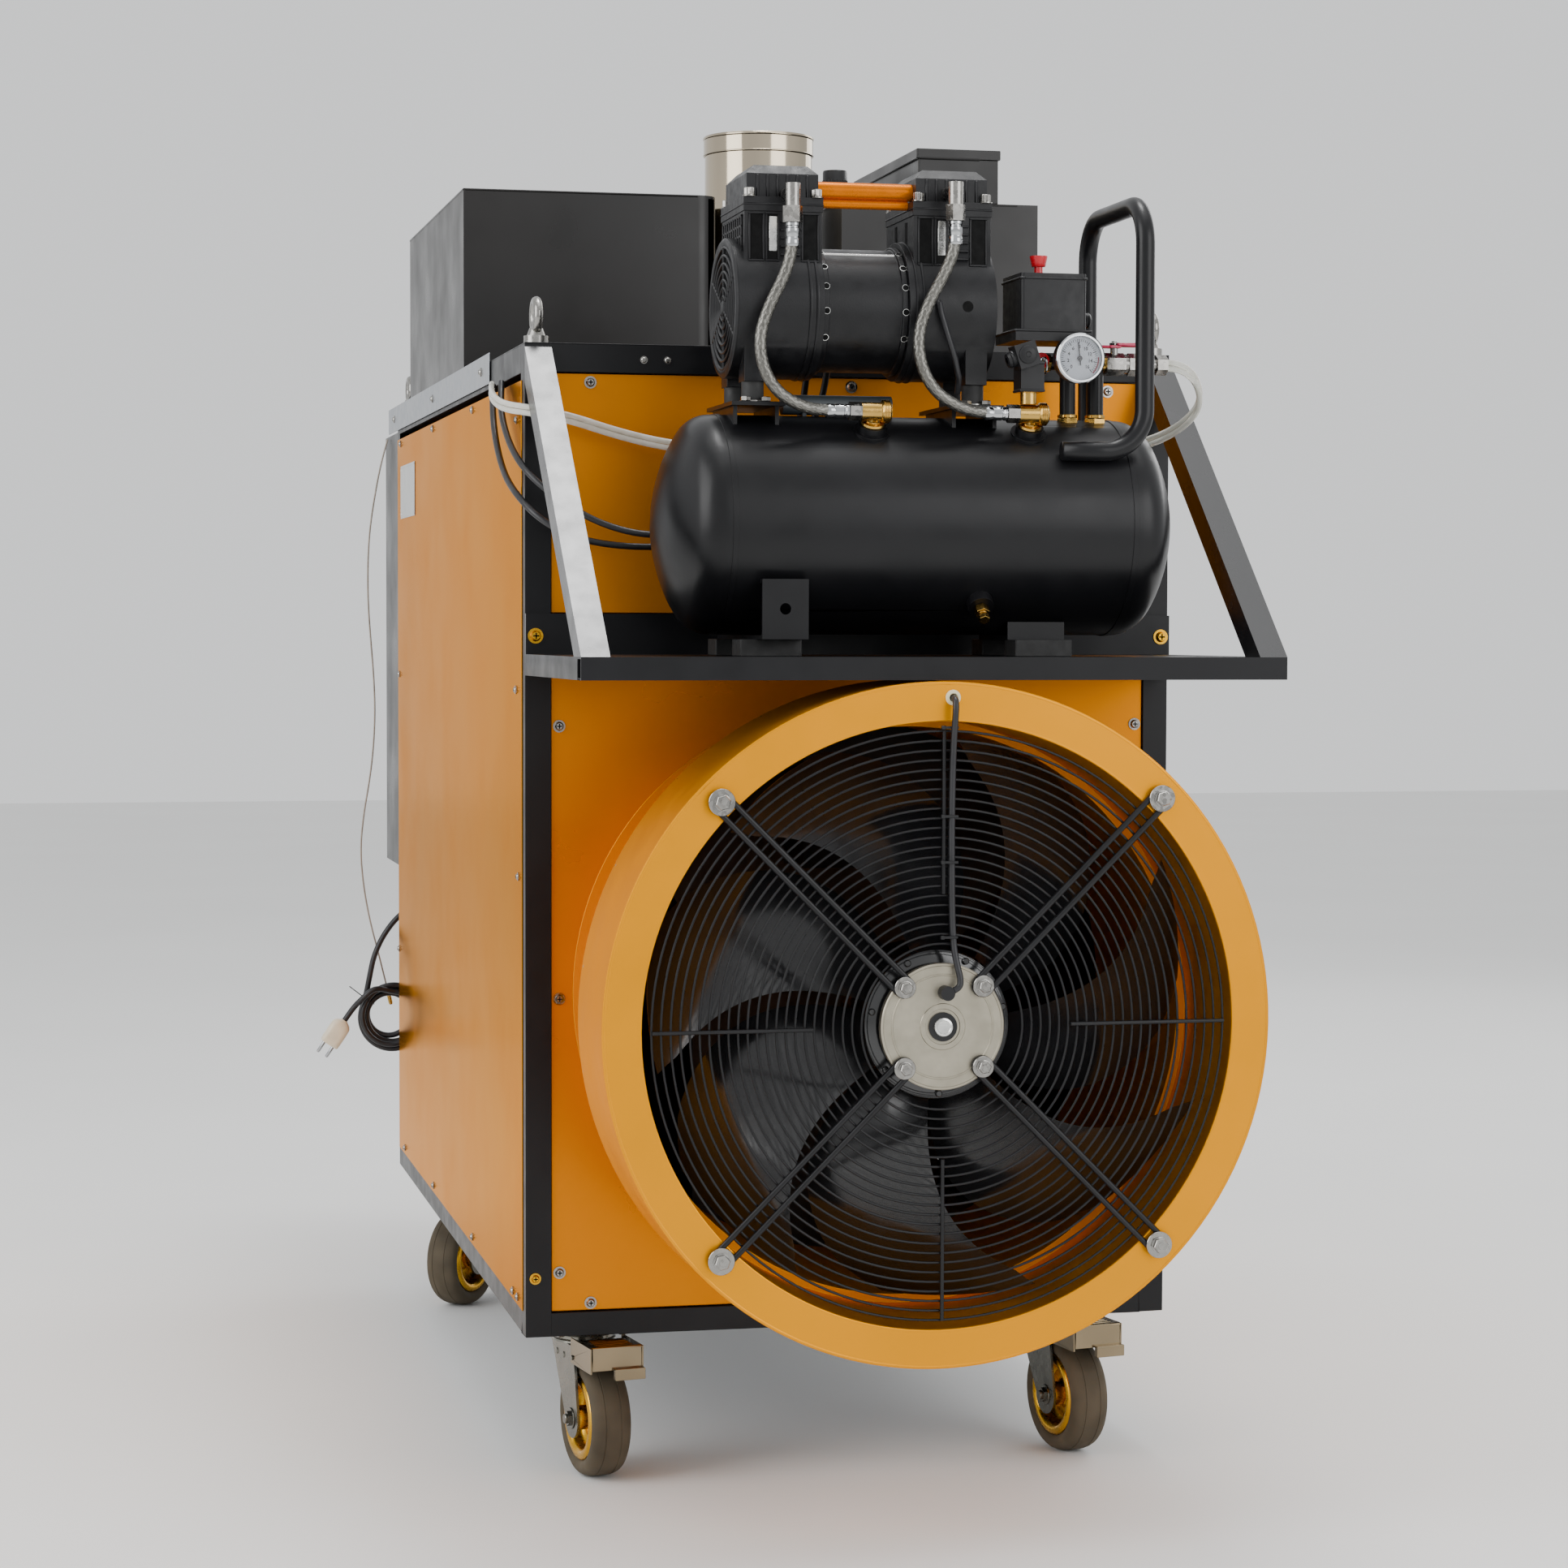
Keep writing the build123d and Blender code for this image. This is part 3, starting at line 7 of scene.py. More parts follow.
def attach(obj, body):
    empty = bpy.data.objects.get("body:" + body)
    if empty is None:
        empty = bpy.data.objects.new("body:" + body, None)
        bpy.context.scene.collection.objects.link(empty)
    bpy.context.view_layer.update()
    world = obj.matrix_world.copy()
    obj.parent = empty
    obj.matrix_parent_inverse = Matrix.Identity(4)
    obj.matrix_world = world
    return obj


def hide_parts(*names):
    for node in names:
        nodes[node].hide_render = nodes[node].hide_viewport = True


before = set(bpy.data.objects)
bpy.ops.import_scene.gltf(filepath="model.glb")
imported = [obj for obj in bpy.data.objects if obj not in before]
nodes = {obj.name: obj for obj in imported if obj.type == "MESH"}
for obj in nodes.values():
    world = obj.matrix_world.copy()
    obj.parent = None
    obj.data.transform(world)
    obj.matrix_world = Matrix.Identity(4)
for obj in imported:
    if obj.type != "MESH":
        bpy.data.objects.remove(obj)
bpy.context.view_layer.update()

# Lengths below are millimetres in the machine frame of part.py: X right, Y rearward from the
# cabinet's front face, Z up from the cabinet's underside.
MIDDLE_Y = 486.0
CLEARANCE = 160.0


def at(x, y, z):
    """A machine-frame point in the row frame, in metres."""
    return Vector((x, y - MIDDLE_Y, z + CLEARANCE)) / 1000


# ---- camera
camera_data = bpy.data.cameras.new("camera")
camera = bpy.data.objects.new("camera", camera_data)
bpy.context.scene.collection.objects.link(camera)
camera_data.lens = 78.66
camera_data.sensor_width = 36.0
camera_data.clip_end = 50
turn = Matrix.Rotation(radians(-12.68), 4, "Z") @ Matrix.Rotation(radians(-2.58), 4, "X")
turn = turn @ Matrix.Rotation(radians(-0.13), 4, "Y") @ Matrix.Rotation(radians(90), 4, "X")
camera.matrix_world = Matrix.Translation(at(-868, -3527, 741)) @ turn
bpy.context.scene.camera = camera


# ---- materials
def new_material(name):
    material = bpy.data.materials.new(name)
    material.use_nodes = True
    tree = material.node_tree
    shader = tree.nodes["Principled BSDF"]
    coords = tree.nodes.new("ShaderNodeTexCoord")
    return material, tree, shader, coords


def settle(node, values):
    """Constants straight on a node's sockets."""
    for socket, value in values.items():
        node.inputs[socket].default_value = value


def noise_node(tree, coords, scale, detail=3.0, stretch=None):
    source = coords.outputs["Object"]
    if stretch:
        mapping = tree.nodes.new("ShaderNodeMapping")
        settle(mapping, {"Scale": stretch})
        tree.links.new(source, mapping.inputs["Vector"])
        source = mapping.outputs["Vector"]
    texture = tree.nodes.new("ShaderNodeTexNoise")
    settle(texture, {"Scale": scale, "Detail": detail})
    tree.links.new(source, texture.inputs["Vector"])
    return texture.outputs["Fac"]


def ramp(tree, fac, stops):
    node = tree.nodes.new("ShaderNodeValToRGB")
    node.color_ramp.elements[0].position = stops[0][0]
    node.color_ramp.elements[0].color = (*stops[0][1], 1)
    node.color_ramp.elements[1].position = stops[-1][0]
    node.color_ramp.elements[1].color = (*stops[-1][1], 1)
    for position, colour in stops[1:-1]:
        node.color_ramp.elements.new(position).color = (*colour, 1)
    tree.links.new(fac, node.inputs["Fac"])
    return node.outputs["Color"]


def spread(tree, fac, low, high):
    node = tree.nodes.new("ShaderNodeMapRange")
    settle(node, {"From Min": 0.3, "From Max": 0.7, "To Min": low, "To Max": high})
    tree.links.new(fac, node.inputs["Value"])
    return node.outputs["Result"]


def bump(tree, shader, height, strength, distance):
    node = tree.nodes.new("ShaderNodeBump")
    settle(node, {"Strength": strength, "Distance": distance})
    tree.links.new(height, node.inputs["Height"])
    tree.links.new(node.outputs["Normal"], shader.inputs["Normal"])


def surface(name, colour, rough, metal=0.0, vary=0.3, patch=60.0, grain=900.0, relief=0.00004, strength=0.3,
            coat=0.0, stretch=None, spec=0.5, tint=(1.0, 1.0, 1.0)):
    """Principled surface: slow colour patches, uneven gloss and fine relief. tint colours reflections."""
    material, tree, shader, coords = new_material(name)
    patches = noise_node(tree, coords, patch, 6.0, stretch)
    dark = tuple(c * (1 - vary) for c in colour)
    light = tuple(min(1.0, c * (1 + vary)) for c in colour)
    tree.links.new(ramp(tree, patches, [(0.3, dark), (0.7, light)]), shader.inputs["Base Color"])
    smears = noise_node(tree, coords, patch * 4, 4.0, stretch)
    tree.links.new(spread(tree, smears, *rough), shader.inputs["Roughness"])
    bump(tree, shader, noise_node(tree, coords, grain, 2.0, stretch), strength, relief)
    settle(shader, {"Metallic": metal, "Specular IOR Level": spec, "Specular Tint": (*tint, 1),
        "Coat Weight": coat, "Coat Roughness": 0.08})
    return material


def spangle_material(name, colour, rough, scale):
    """Galvanised or zinc-plated steel with crystal patches."""
    material, tree, shader, coords = new_material(name)
    cells = tree.nodes.new("ShaderNodeTexVoronoi")
    settle(cells, {"Scale": scale})
    tree.links.new(coords.outputs["Object"], cells.inputs["Vector"])
    to_grey = tree.nodes.new("ShaderNodeSeparateColor")
    tree.links.new(cells.outputs["Color"], to_grey.inputs["Color"])
    grey = to_grey.outputs["Red"]
    tree.links.new(ramp(tree, grey, [(0.0, tuple(c * 0.8 for c in colour)), (1.0, colour)]),
        shader.inputs["Base Color"])
    tree.links.new(spread(tree, grey, *rough), shader.inputs["Roughness"])
    bump(tree, shader, noise_node(tree, coords, 500.0), 0.2, 0.00005)
    settle(shader, {"Metallic": 1.0})
    return material


YELLOW = surface("panel_enamel", (0.62, 0.20, 0.0), (0.26, 0.36), metal=0.5, vary=0.06, patch=2.5,
    grain=420.0, relief=0.00003, spec=0.15, tint=(1.0, 0.5, 0.08))
SIDE_YELLOW = surface("side_enamel", (0.60, 0.235, 0.002), (0.14, 0.22), metal=0.9, vary=0.08, patch=1.8,
    grain=300.0, relief=0.00002, spec=0.1, tint=(1.0, 0.52, 0.07))
AMBER = surface("ring_enamel", (0.74, 0.29, 0.0), (0.36, 0.46), metal=0.75, vary=0.04, patch=5.0,
    grain=700.0, spec=0.1, tint=(1.0, 0.5, 0.05))
FRAME_BLACK = surface("frame_powder", (0.006, 0.006, 0.007), (0.3, 0.42), patch=8.0, grain=1200.0,
    relief=0.00008, spec=0.25)
BRACE_BLACK = surface("brace_powder", (0.008, 0.008, 0.009), (0.2, 0.3), patch=8.0, grain=1200.0,
    relief=0.00005, spec=0.7)
BOX_BLACK = surface("box_enamel", (0.009, 0.008, 0.0075), (0.26, 0.4), vary=0.35, patch=3.0, grain=800.0,
    spec=0.38)
TANK_BLACK = surface("tank_satin", (0.005, 0.005, 0.006), (0.28, 0.38), patch=7.0, grain=520.0,
    relief=0.0001, spec=0.3)
CAST_BLACK = surface("cast_black", (0.006, 0.006, 0.007), (0.3, 0.48), vary=0.35, patch=25.0, grain=600.0,
    relief=0.0002, strength=0.4, spec=0.32)
FAN_BLACK = surface("fan_black", (0.009, 0.009, 0.010), (0.10, 0.20), patch=9.0, grain=700.0, spec=0.8)
WIRE_BLACK = surface("wire_black", (0.007, 0.007, 0.008), (0.25, 0.4), patch=30.0, spec=0.3)
PLASTIC_BLACK = surface("plastic_black", (0.008, 0.008, 0.009), (0.35, 0.5), vary=0.25, patch=30.0,
    grain=2200.0, relief=0.00012, spec=0.35)
RUBBER_BLACK = surface("rubber_black", (0.014, 0.014, 0.014), (0.55, 0.75), patch=30.0, grain=1500.0,
    relief=0.0002)
CABLE_BLACK = surface("cable_sheath", (0.010, 0.010, 0.012), (0.32, 0.5), patch=40.0, grain=1500.0)
TYRE = surface("tyre_rubber", (0.085, 0.068, 0.045), (0.6, 0.85), vary=0.25, patch=35.0, grain=900.0,
    relief=0.0002, spec=0.2)
GALVANISED = spangle_material("galvanised", (0.46, 0.48, 0.51), (0.3, 0.5), 90.0)
ZINC = spangle_material("zinc_plate", (0.33, 0.32, 0.30), (0.16, 0.3), 260.0)
CASTER_STEEL = surface("caster_steel", (0.20, 0.195, 0.17), (0.2, 0.34), metal=1.0, vary=0.2, patch=22.0)
PEDAL_STEEL = surface("pedal_steel", (0.24, 0.19, 0.12), (0.14, 0.26), metal=1.0, vary=0.15, patch=18.0)
CAPACITOR = surface("capacitor_sleeve", (0.035, 0.042, 0.048), (0.35, 0.5), vary=0.2, patch=30.0)
DARK_STEEL = surface("dark_steel", (0.12, 0.10, 0.09), (0.45, 0.65), metal=0.8, vary=0.35, patch=14.0)
STATOR = surface("stator_face", (0.36, 0.33, 0.26), (0.3, 0.42), metal=0.85, vary=0.12, patch=40.0,
    grain=900.0, relief=0.0002)
BRIGHT_ALUMINIUM = surface("bright_aluminium", (0.66, 0.66, 0.64), (0.16, 0.3), metal=1.0, vary=0.06,
    stretch=(1, 1, 18))
CHROME = surface("chrome", (0.46, 0.47, 0.48), (0.05, 0.14), metal=1.0, vary=0.06, patch=40.0)
FLUE = surface("flue_stainless", (0.42, 0.36, 0.27), (0.06, 0.14), metal=1.0, patch=9.0, grain=60.0,
    relief=0.0006, stretch=(1, 1, 0.06))
BRASS = surface("brass", (0.52, 0.32, 0.08), (0.14, 0.3), metal=1.0, vary=0.1)
GOLD_ZINC = surface("gold_zinc", (0.62, 0.33, 0.02), (0.2, 0.36), metal=1.0, vary=0.14, patch=40.0)
ORANGE = surface("orange_enamel", (0.56, 0.14, 0.0), (0.22, 0.34), metal=0.5, vary=0.08, patch=30.0,
    spec=0.2, tint=(1.0, 0.5, 0.1))
BRAID = surface("braid_steel", (0.165, 0.16, 0.145), (0.24, 0.4), metal=0.9, vary=0.25, patch=250.0)
RED = surface("red_plastic", (0.62, 0.008, 0.02), (0.22, 0.36), vary=0.1, patch=40.0, coat=0.3)
LEVER_RED = surface("lever_red", (0.50, 0.006, 0.07), (0.25, 0.4), vary=0.1, patch=40.0, coat=0.3)
WHITE_PLASTIC = surface("plug_ivory", (0.74, 0.66, 0.50), (0.3, 0.45), vary=0.1, coat=0.2)
DIAL = surface("dial_white", (0.72, 0.76, 0.84), (0.35, 0.5), vary=0.04)
INK = surface("dial_ink", (0.02, 0.02, 0.03), (0.4, 0.5), vary=0.1)
INK_RED = surface("dial_red", (0.35, 0.02, 0.06), (0.4, 0.5), vary=0.1)
SENSOR = surface("sensor_sheath", (0.28, 0.24, 0.20), (0.4, 0.6), vary=0.2)
GROMMET = surface("pale_rubber", (0.70, 0.64, 0.42), (0.5, 0.65), vary=0.1)
PLATE_SILVER = surface("rating_plate", (0.60, 0.61, 0.60), (0.3, 0.42), metal=0.7, vary=0.05, patch=50.0)
# Painted shade: near-black for thin sheets put where openings, recesses and screw slots fall into shade.
PAINTED_SHADE_BLACK = surface("painted_shade_sheet", (0.002, 0.002, 0.002), (0.7, 0.9), patch=40.0, spec=0.2)


def clear_material(name, patch, rough, transmission, ior, stops=None):
    """See-through plastic or glass, tinted by colour stops when it has them."""
    material, tree, shader, coords = new_material(name)
    patches = noise_node(tree, coords, patch)
    if stops:
        tree.links.new(ramp(tree, patches, stops), shader.inputs["Base Color"])
    tree.links.new(spread(tree, patches, *rough), shader.inputs["Roughness"])
    settle(shader, {"Transmission Weight": transmission, "IOR": ior})
    return material


CLEAR_TUBE = clear_material("clear_tube", 90.0, (0.12, 0.25), 0.45, 1.42, [(0.3, (0.78, 0.77, 0.68)),
    (0.7, (0.90, 0.90, 0.84))])
GLASS = clear_material("gauge_glass", 60.0, (0.02, 0.06), 1.0, 1.3)


# ---- CAD nodes: bevels and materials
def dress(name, material, bevel=0.0008, others=()):
    """Looks of a CAD node: material, smoothing, bevel. others: (test on a face's centre in mm, material)."""
    node = nodes[name]
    mesh = node.data
    mesh.materials.clear()
    mesh.materials.append(material)
    for _, extra in others:
        mesh.materials.append(extra)
    for polygon in mesh.polygons:
        polygon.use_smooth = True
        polygon.material_index = 0
        centre = polygon.center
        x, y, z = centre.x * 1000, centre.y * 1000 + MIDDLE_Y, centre.z * 1000 - CLEARANCE
        for index, (test, _) in enumerate(others):
            if test(x, y, z):
                polygon.material_index = index + 1
                break
    if "custom_normal" in mesh.attributes:
        mesh.attributes.remove(mesh.attributes["custom_normal"])
    weld = node.modifiers.new("weld", "WELD")
    weld.merge_threshold = 0.00001
    if bevel:
        rounding = node.modifiers.new("bevel", "BEVEL")
        rounding.width = bevel
        rounding.segments = 2
        rounding.limit_method = "ANGLE"
        rounding.angle_limit = radians(38)
        rounding.harden_normals = True
        rounding.use_clamp_overlap = True
    return node


# ---- mesh helpers
RIGHT, LEFT = (1, 0, 0), (-1, 0, 0)
REAR, FRONT = (0, 1, 0), (0, -1, 0)
UP, DOWN = (0, 0, 1), (0, 0, -1)


def piece(name, shapes, material, body="machine", smooth=40):
    """A piece in the row frame, made of (verts, faces) shapes, that rides on a body."""
    verts, faces = [], []
    for more_verts, more_faces in shapes:
        start = len(verts)
        verts += more_verts
        faces += [tuple(start + i for i in face) for face in more_faces]
    mesh = bpy.data.meshes.new(name)
    mesh.from_pydata([tuple(v) for v in verts], [], faces)
    mesh.update()
    mesh.validate()
    mesh.materials.append(material)
    for polygon in mesh.polygons:
        polygon.use_smooth = True
    if smooth:
        mesh.set_sharp_from_angle(angle=radians(smooth))
    thing = bpy.data.objects.new(name, mesh)
    bpy.context.scene.collection.objects.link(thing)
    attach(thing, body)
    return thing


def basis(axis):
    """A rotation whose local Z is the axis."""
    return Vector(axis).normalized().to_track_quat("Z", "Y").to_matrix()


def loft(rings, closed=False, ends=(True, True)):
    """Skin through rings of equal length (lists of row-frame points), with or without its two end faces."""
    steps, count = len(rings[0]), len(rings)
    faces = []
    for row in range(count if closed else count - 1):
        here, after = row * steps, (row + 1) % count * steps
        for k in range(steps):
            n = (k + 1) % steps
            faces.append((here + k, here + n, after + n, after + k))
    if ends[0] and not closed:
        faces.append(tuple(reversed(range(steps))))
    if ends[1] and not closed:
        faces.append(tuple(range((count - 1) * steps, count * steps)))
    return [point for ring in rings for point in ring], faces


def circle(centre, axis, radius, steps=64, height=0.0, spin=0.0):
    """Row-frame points on a circle about an axis through a machine-frame point."""
    turned, origin = basis(axis), at(*centre)
    angles = [spin + 2 * pi * k / steps for k in range(steps)]
    return [origin + turned @ Vector((radius * cos(a), radius * sin(a), height)) / 1000 for a in angles]


def lathe(centre, axis, profile, steps=48):
    """Revolve (radius, height) pairs about an axis. Both ends off the axis make an open ring."""
    first, last = profile[0][0] > 0, profile[-1][0] > 0
    rings = [circle(centre, axis, radius, steps, height) for radius, height in profile]
    return loft(rings, closed=len(profile) > 2 and first and last, ends=(first, last))


def prism(centre, axis, across_flats, height, chamfer=0.6, spin=0.0):
    """Hexagon with chamfered rims, standing on a machine-frame point."""
    wide = across_flats / 2 / cos(pi / 6)
    narrow = wide - chamfer
    outline = ((narrow, 0), (wide, chamfer), (wide, height - chamfer), (narrow, height))
    return loft([circle(centre, axis, radius, 6, lift, spin) for radius, lift in outline])


def slab(x0, x1, y0, y1, z0, z1, bevel=0.6):
    """Box with chamfered edges."""
    verts, faces, spots = [], [], {}
    corners = list(product((0, 1), repeat=3))
    for i, j, k in corners:
        sx, sy, sz = (1 - 2 * i) * bevel, (1 - 2 * j) * bevel, (1 - 2 * k) * bevel
        x, y, z = (x0, x1)[i], (y0, y1)[j], (z0, z1)[k]
        for axis, point in enumerate(((x, y + sy, z + sz), (x + sx, y, z + sz), (x + sx, y + sy, z))):
            spots[(i, j, k, axis)] = len(verts)
            verts.append(at(*point))
    for axis in range(3):
        a, b = [other for other in range(3) if other != axis]
        for end in (0, 1):
            loop = []
            for p, q in ((0, 0), (1, 0), (1, 1), (0, 1)):
                key = [0, 0, 0]
                key[axis], key[a], key[b] = end, p, q
                loop.append(spots[(*key, axis)])
            faces.append(tuple(loop))
        for p, q in product((0, 1), repeat=2):
            low = [0, 0, 0]
            low[a], low[b] = p, q
            high = list(low)
            high[axis] = 1
            faces.append((spots[(*low, a)], spots[(*high, a)], spots[(*high, b)], spots[(*low, b)]))
    faces += [tuple(spots[(*corner, axis)] for axis in range(3)) for corner in corners]
    return outward(verts, faces)


def outward(verts, faces):
    """Turn each face of a convex lump away from its middle."""
    middle = sum(verts, Vector()) / len(verts)
    turned = []
    for face in faces:
        p, q, r = (verts[i] for i in face[:3])
        normal = (q - p).cross(r - p)
        centre = sum((verts[i] for i in face), Vector()) / len(face)
        turned.append(face if normal.dot(centre - middle) > 0 else tuple(reversed(face)))
    return verts, turned


def tube(path, radius, sides=12, closed=False):
    """Round tube along row-frame points."""
    count = len(path)
    side = (path[1] - path[0]).normalized().orthogonal().normalized()
    turns = [2 * pi * k / sides for k in range(sides)]
    rings = []
    for i, point in enumerate(path):
        before = path[i - 1] if i or closed else path[0]
        after = path[(i + 1) % count] if i < count - 1 or closed else path[-1]
        way = (after - before).normalized()
        side = (side - way * side.dot(way)).normalized()
        up = way.cross(side)
        rings.append([point + (side * cos(a) + up * sin(a)) * radius / 1000 for a in turns])
    return loft(rings, closed)


def hoop(centre, axis, radius, thick, steps, sides=10):
    """Closed round ring about a machine-frame point."""
    return tube(circle(centre, axis, radius, steps), thick, sides, closed=True)


def rod(a, b, radius, sides=8):
    """Straight round bar between two machine-frame points."""
    a, b = at(*a), at(*b)
    return tube([a, a.lerp(b, 0.5), b], radius, sides)


def wafer(corners, way, lift, sink):
    """Thin plate on four machine-frame corners, raised and sunk along a direction."""
    verts = [at(*(corner + way * shift)) for shift in (lift, -sink) for corner in corners]
    return outward(verts, [(0, 1, 2, 3), (4, 5, 6, 7), (0, 1, 5, 4), (1, 2, 6, 5), (2, 3, 7, 6),
        (3, 0, 4, 7)])


def arc_path(centre, axis_u, axis_v, radius, start, end, steps):
    """Points in mm on an arc in the plane of two unit vectors."""
    u, v, c = Vector(axis_u), Vector(axis_v), Vector(centre)
    angles = [radians(start + (end - start) * k / steps) for k in range(steps + 1)]
    return [c + (u * cos(a) + v * sin(a)) * radius for a in angles]


# ---- cords
def nurbs(name, points, radius=0.0, material=None):
    """Smooth line controlled by a route's points: a drawn cord, or a guide when it has no material."""
    data = bpy.data.curves.new(name, "CURVE")
    data.dimensions = "3D"
    spline = data.splines.new("NURBS")
    spline.points.add(len(points) - 1)
    for control, point in zip(spline.points, points):
        control.co = (*at(*point), 1)
    spline.order_u = 3
    spline.use_endpoint_u = True
    data.resolution_u = 8
    data.bevel_depth = radius / 1000
    data.bevel_resolution = 5
    data.use_fill_caps = True
    thing = bpy.data.objects.new(name, data)
    bpy.context.scene.collection.objects.link(thing)
    if material:
        data.materials.append(material)
        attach(thing, "machine")
    return thing


def route(points):
    """Points along the smooth line of a route."""
    guide = nurbs("guide", points)
    mesh = bpy.data.meshes.new_from_object(guide)
    line = [v.co.copy() for v in mesh.vertices]
    data = guide.data
    bpy.data.objects.remove(guide)
    bpy.data.curves.remove(data)
    bpy.data.meshes.remove(mesh)
    return line


def declare(points, radius):
    """Follows the cord's smooth line and measures its length and its exit point, without keeping them.
    radius is not used.
    """
    line = route(points)
    length = sum((b - a).length for a, b in zip(line, line[1:]))
    tuple(line[0])


AIR_TUBE_R, SUPPLY_R, FAN_LEAD_R, SENSOR_R, MAINS_R, HOSE_R = 3.0, 3.5, 3.2, 1.2, 4.0, 6.0
AIR_LINE = [(277.2, -200, 1013), (291, -200, 1013), (309, -196, 1003), (320, -186, 985), (321, -170, 968),
    (308, -140, 950), (284, -112, 938), (254, -86, 930), (215, -62, 926), (170, -47, 925), (122, -40, 927),
    (70, -37, 929), (16, -36, 930), (-40, -36, 929), (-96, -36, 929), (-152, -35, 930), (-207, -32, 934),
    (-260, -31, 946), (-308, -32, 961), (-348, -20, 969), (-368, 16, 974), (-373, 62, 984),
    (-371, 106, 996), (-364, 146, 1004)]
LOWER_AIR_LINE = [(x, y, z - 6.2) for x, y, z in AIR_LINE]
upper_tube = nurbs("air_tube_upper", AIR_LINE, AIR_TUBE_R, CLEAR_TUBE)
lower_tube = nurbs("air_tube_lower", LOWER_AIR_LINE, AIR_TUBE_R, CLEAR_TUBE)
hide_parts("air_line")
declare(AIR_LINE, AIR_TUBE_R)
declare(LOWER_AIR_LINE, AIR_TUBE_R)

OUTER_SUPPLY = [(-360, 168, 1004), (-363, 150, 975), (-364, 120, 944), (-364, 82, 918), (-363, 38, 896),
    (-357, -8, 876), (-341, -33, 855), (-312, -42, 837), (-275, -45, 828), (-228, -46, 825),
    (-180, -46, 829), (-140, -48, 845), (-112, -54, 870), (-94, -62, 900), (-82, -72, 932), (-76, -84, 964),
    (-74, -96, 994), (-74, -108, 1020)]
INNER_SUPPLY = [(-357, 122, 1004), (-362, 96, 976), (-362, 62, 950), (-360, 24, 928), (-354, -12, 908),
    (-338, -32, 888), (-312, -40, 868), (-280, -44, 850), (-240, -53, 838), (-196, -57, 838),
    (-156, -58, 850), (-124, -63, 872), (-100, -70, 900), (-78, -78, 928), (-62, -87, 958), (-54, -97, 988),
    (-53, -108, 1018)]
FAN_LEAD = [(9, -365.7, 676.5), (9, -373, 675.6), (8.8, -377, 670), (8.4, -377, 660), (8, -373, 640),
    (7.6, -370, 608), (7.2, -369, 564), (7.4, -368.6, 516), (8, -368.6, 470), (9.4, -369, 438),
    (12.5, -372, 419), (15, -374.5, 408), (14.5, -375.4, 399), (8.5, -375.4, 396.4)]
outer_cable = nurbs("outer_supply", OUTER_SUPPLY, SUPPLY_R, CABLE_BLACK)
inner_cable = nurbs("inner_supply", INNER_SUPPLY, SUPPLY_R, CABLE_BLACK)
fan_cable = nurbs("fan_lead", FAN_LEAD, FAN_LEAD_R, CABLE_BLACK)
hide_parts("wiring")
declare(OUTER_SUPPLY, SUPPLY_R)
declare(INNER_SUPPLY, SUPPLY_R)

grommet = piece("lead_grommet", [lathe((9, -365, 676.5), FRONT, [(3.4, 0), (7.5, 0), (7.5, 1.0), (6.6, 2.4),
    (4.4, 2.8), (3.4, 1.6)])], GROMMET)
declare(FAN_LEAD, FAN_LEAD_R)


def zip_ties():
    for z in (648, 563, 519, 447):
        yield slab(-1.5, 12.8, -373.4, -372.2, z - 1.3, z + 1.3, 0.3)
        yield slab(-2.4, -1.0, -373, -364.4, z - 1.3, z + 1.3, 0.3)
        yield slab(-4.4, -0.6, -374.6, -371.6, z - 1.9, z + 1.9, 0.4)


piece("lead_zip_ties", zip_ties(), PLASTIC_BLACK)

SENSOR_LEAD = [(-353, 1300, 1006), (-362, 1300, 975), (-371, 1298, 930), (-379, 1296, 880),
    (-382, 1294, 830), (-382, 1292, 780), (-379, 1290, 730), (-375, 1288, 680), (-373, 1287, 630),
    (-375, 1286, 580), (-381, 1284, 530), (-390, 1282, 482), (-395, 1281, 432), (-391, 1281, 382),
    (-382, 1283, 332), (-369, 1288, 284), (-357, 1293, 236)]
sensor = nurbs("sensor_wire", SENSOR_LEAD, SENSOR_R, SENSOR)
sensor_way = (Vector(SENSOR_LEAD[-1]) - Vector(SENSOR_LEAD[-2])).normalized()
probe = piece("sensor_probe", [lathe(SENSOR_LEAD[-1], sensor_way, [(1.2, -5), (2.2, -4), (2.2, 2), (3.0, 3),
    (3.0, 23), (2.2, 25.5), (0, 26)], 20)], BRASS)
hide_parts("sensor_lead")
declare(SENSOR_LEAD, SENSOR_R)

POWER_LEAD = [(-318, 1275, 382.9), (-318, 1275, 365), (-330, 1275, 348), (-350, 1275, 330),
    (-366, 1275, 307), (-377, 1275, 282), (-382, 1275, 259)]
PLUG_LEAD = [(-398, 1259, 221), (-403, 1263, 215.6), (-411.5, 1265, 204.8), (-419, 1266, 193.5)]
COIL = (-352, 1275, 197)
TIE_ANGLE = 145.0
TURNS = 5
TURN_POINTS = 14


def coil_points():
    """Five turns in three layers, bunched where they are tied and fanned out below."""
    points = []
    slots = [(44.0, 8.4), (36.0, 8.4), (36.0, 0.0), (44.0, 0.0), (44.0, -8.4), (36.0, -8.4)]
    bulges = [0.0, -3.4, 0.0, 3.2, 0.0]
    for step in range(TURNS * TURN_POINTS):
        turn_number, part = divmod(step, TURN_POINTS)
        share = part / TURN_POINTS
        (r0, y0), (r1, y1) = slots[turn_number], slots[turn_number + 1]
        angle = TIE_ANGLE + 360 * share
        radius = r0 + (r1 - r0) * share + bulges[turn_number] * sin(pi * share)
        away = (1 - cos(radians(angle - TIE_ANGLE))) / 2
        radius -= (44 - min(44.0, radius)) / 8 * 4.5 * away
        depth = y0 + (y1 - y0) * share
        points.append((COIL[0] + radius * cos(radians(angle)), COIL[1] + depth,
            COIL[2] + radius * sin(radians(angle))))
    return points


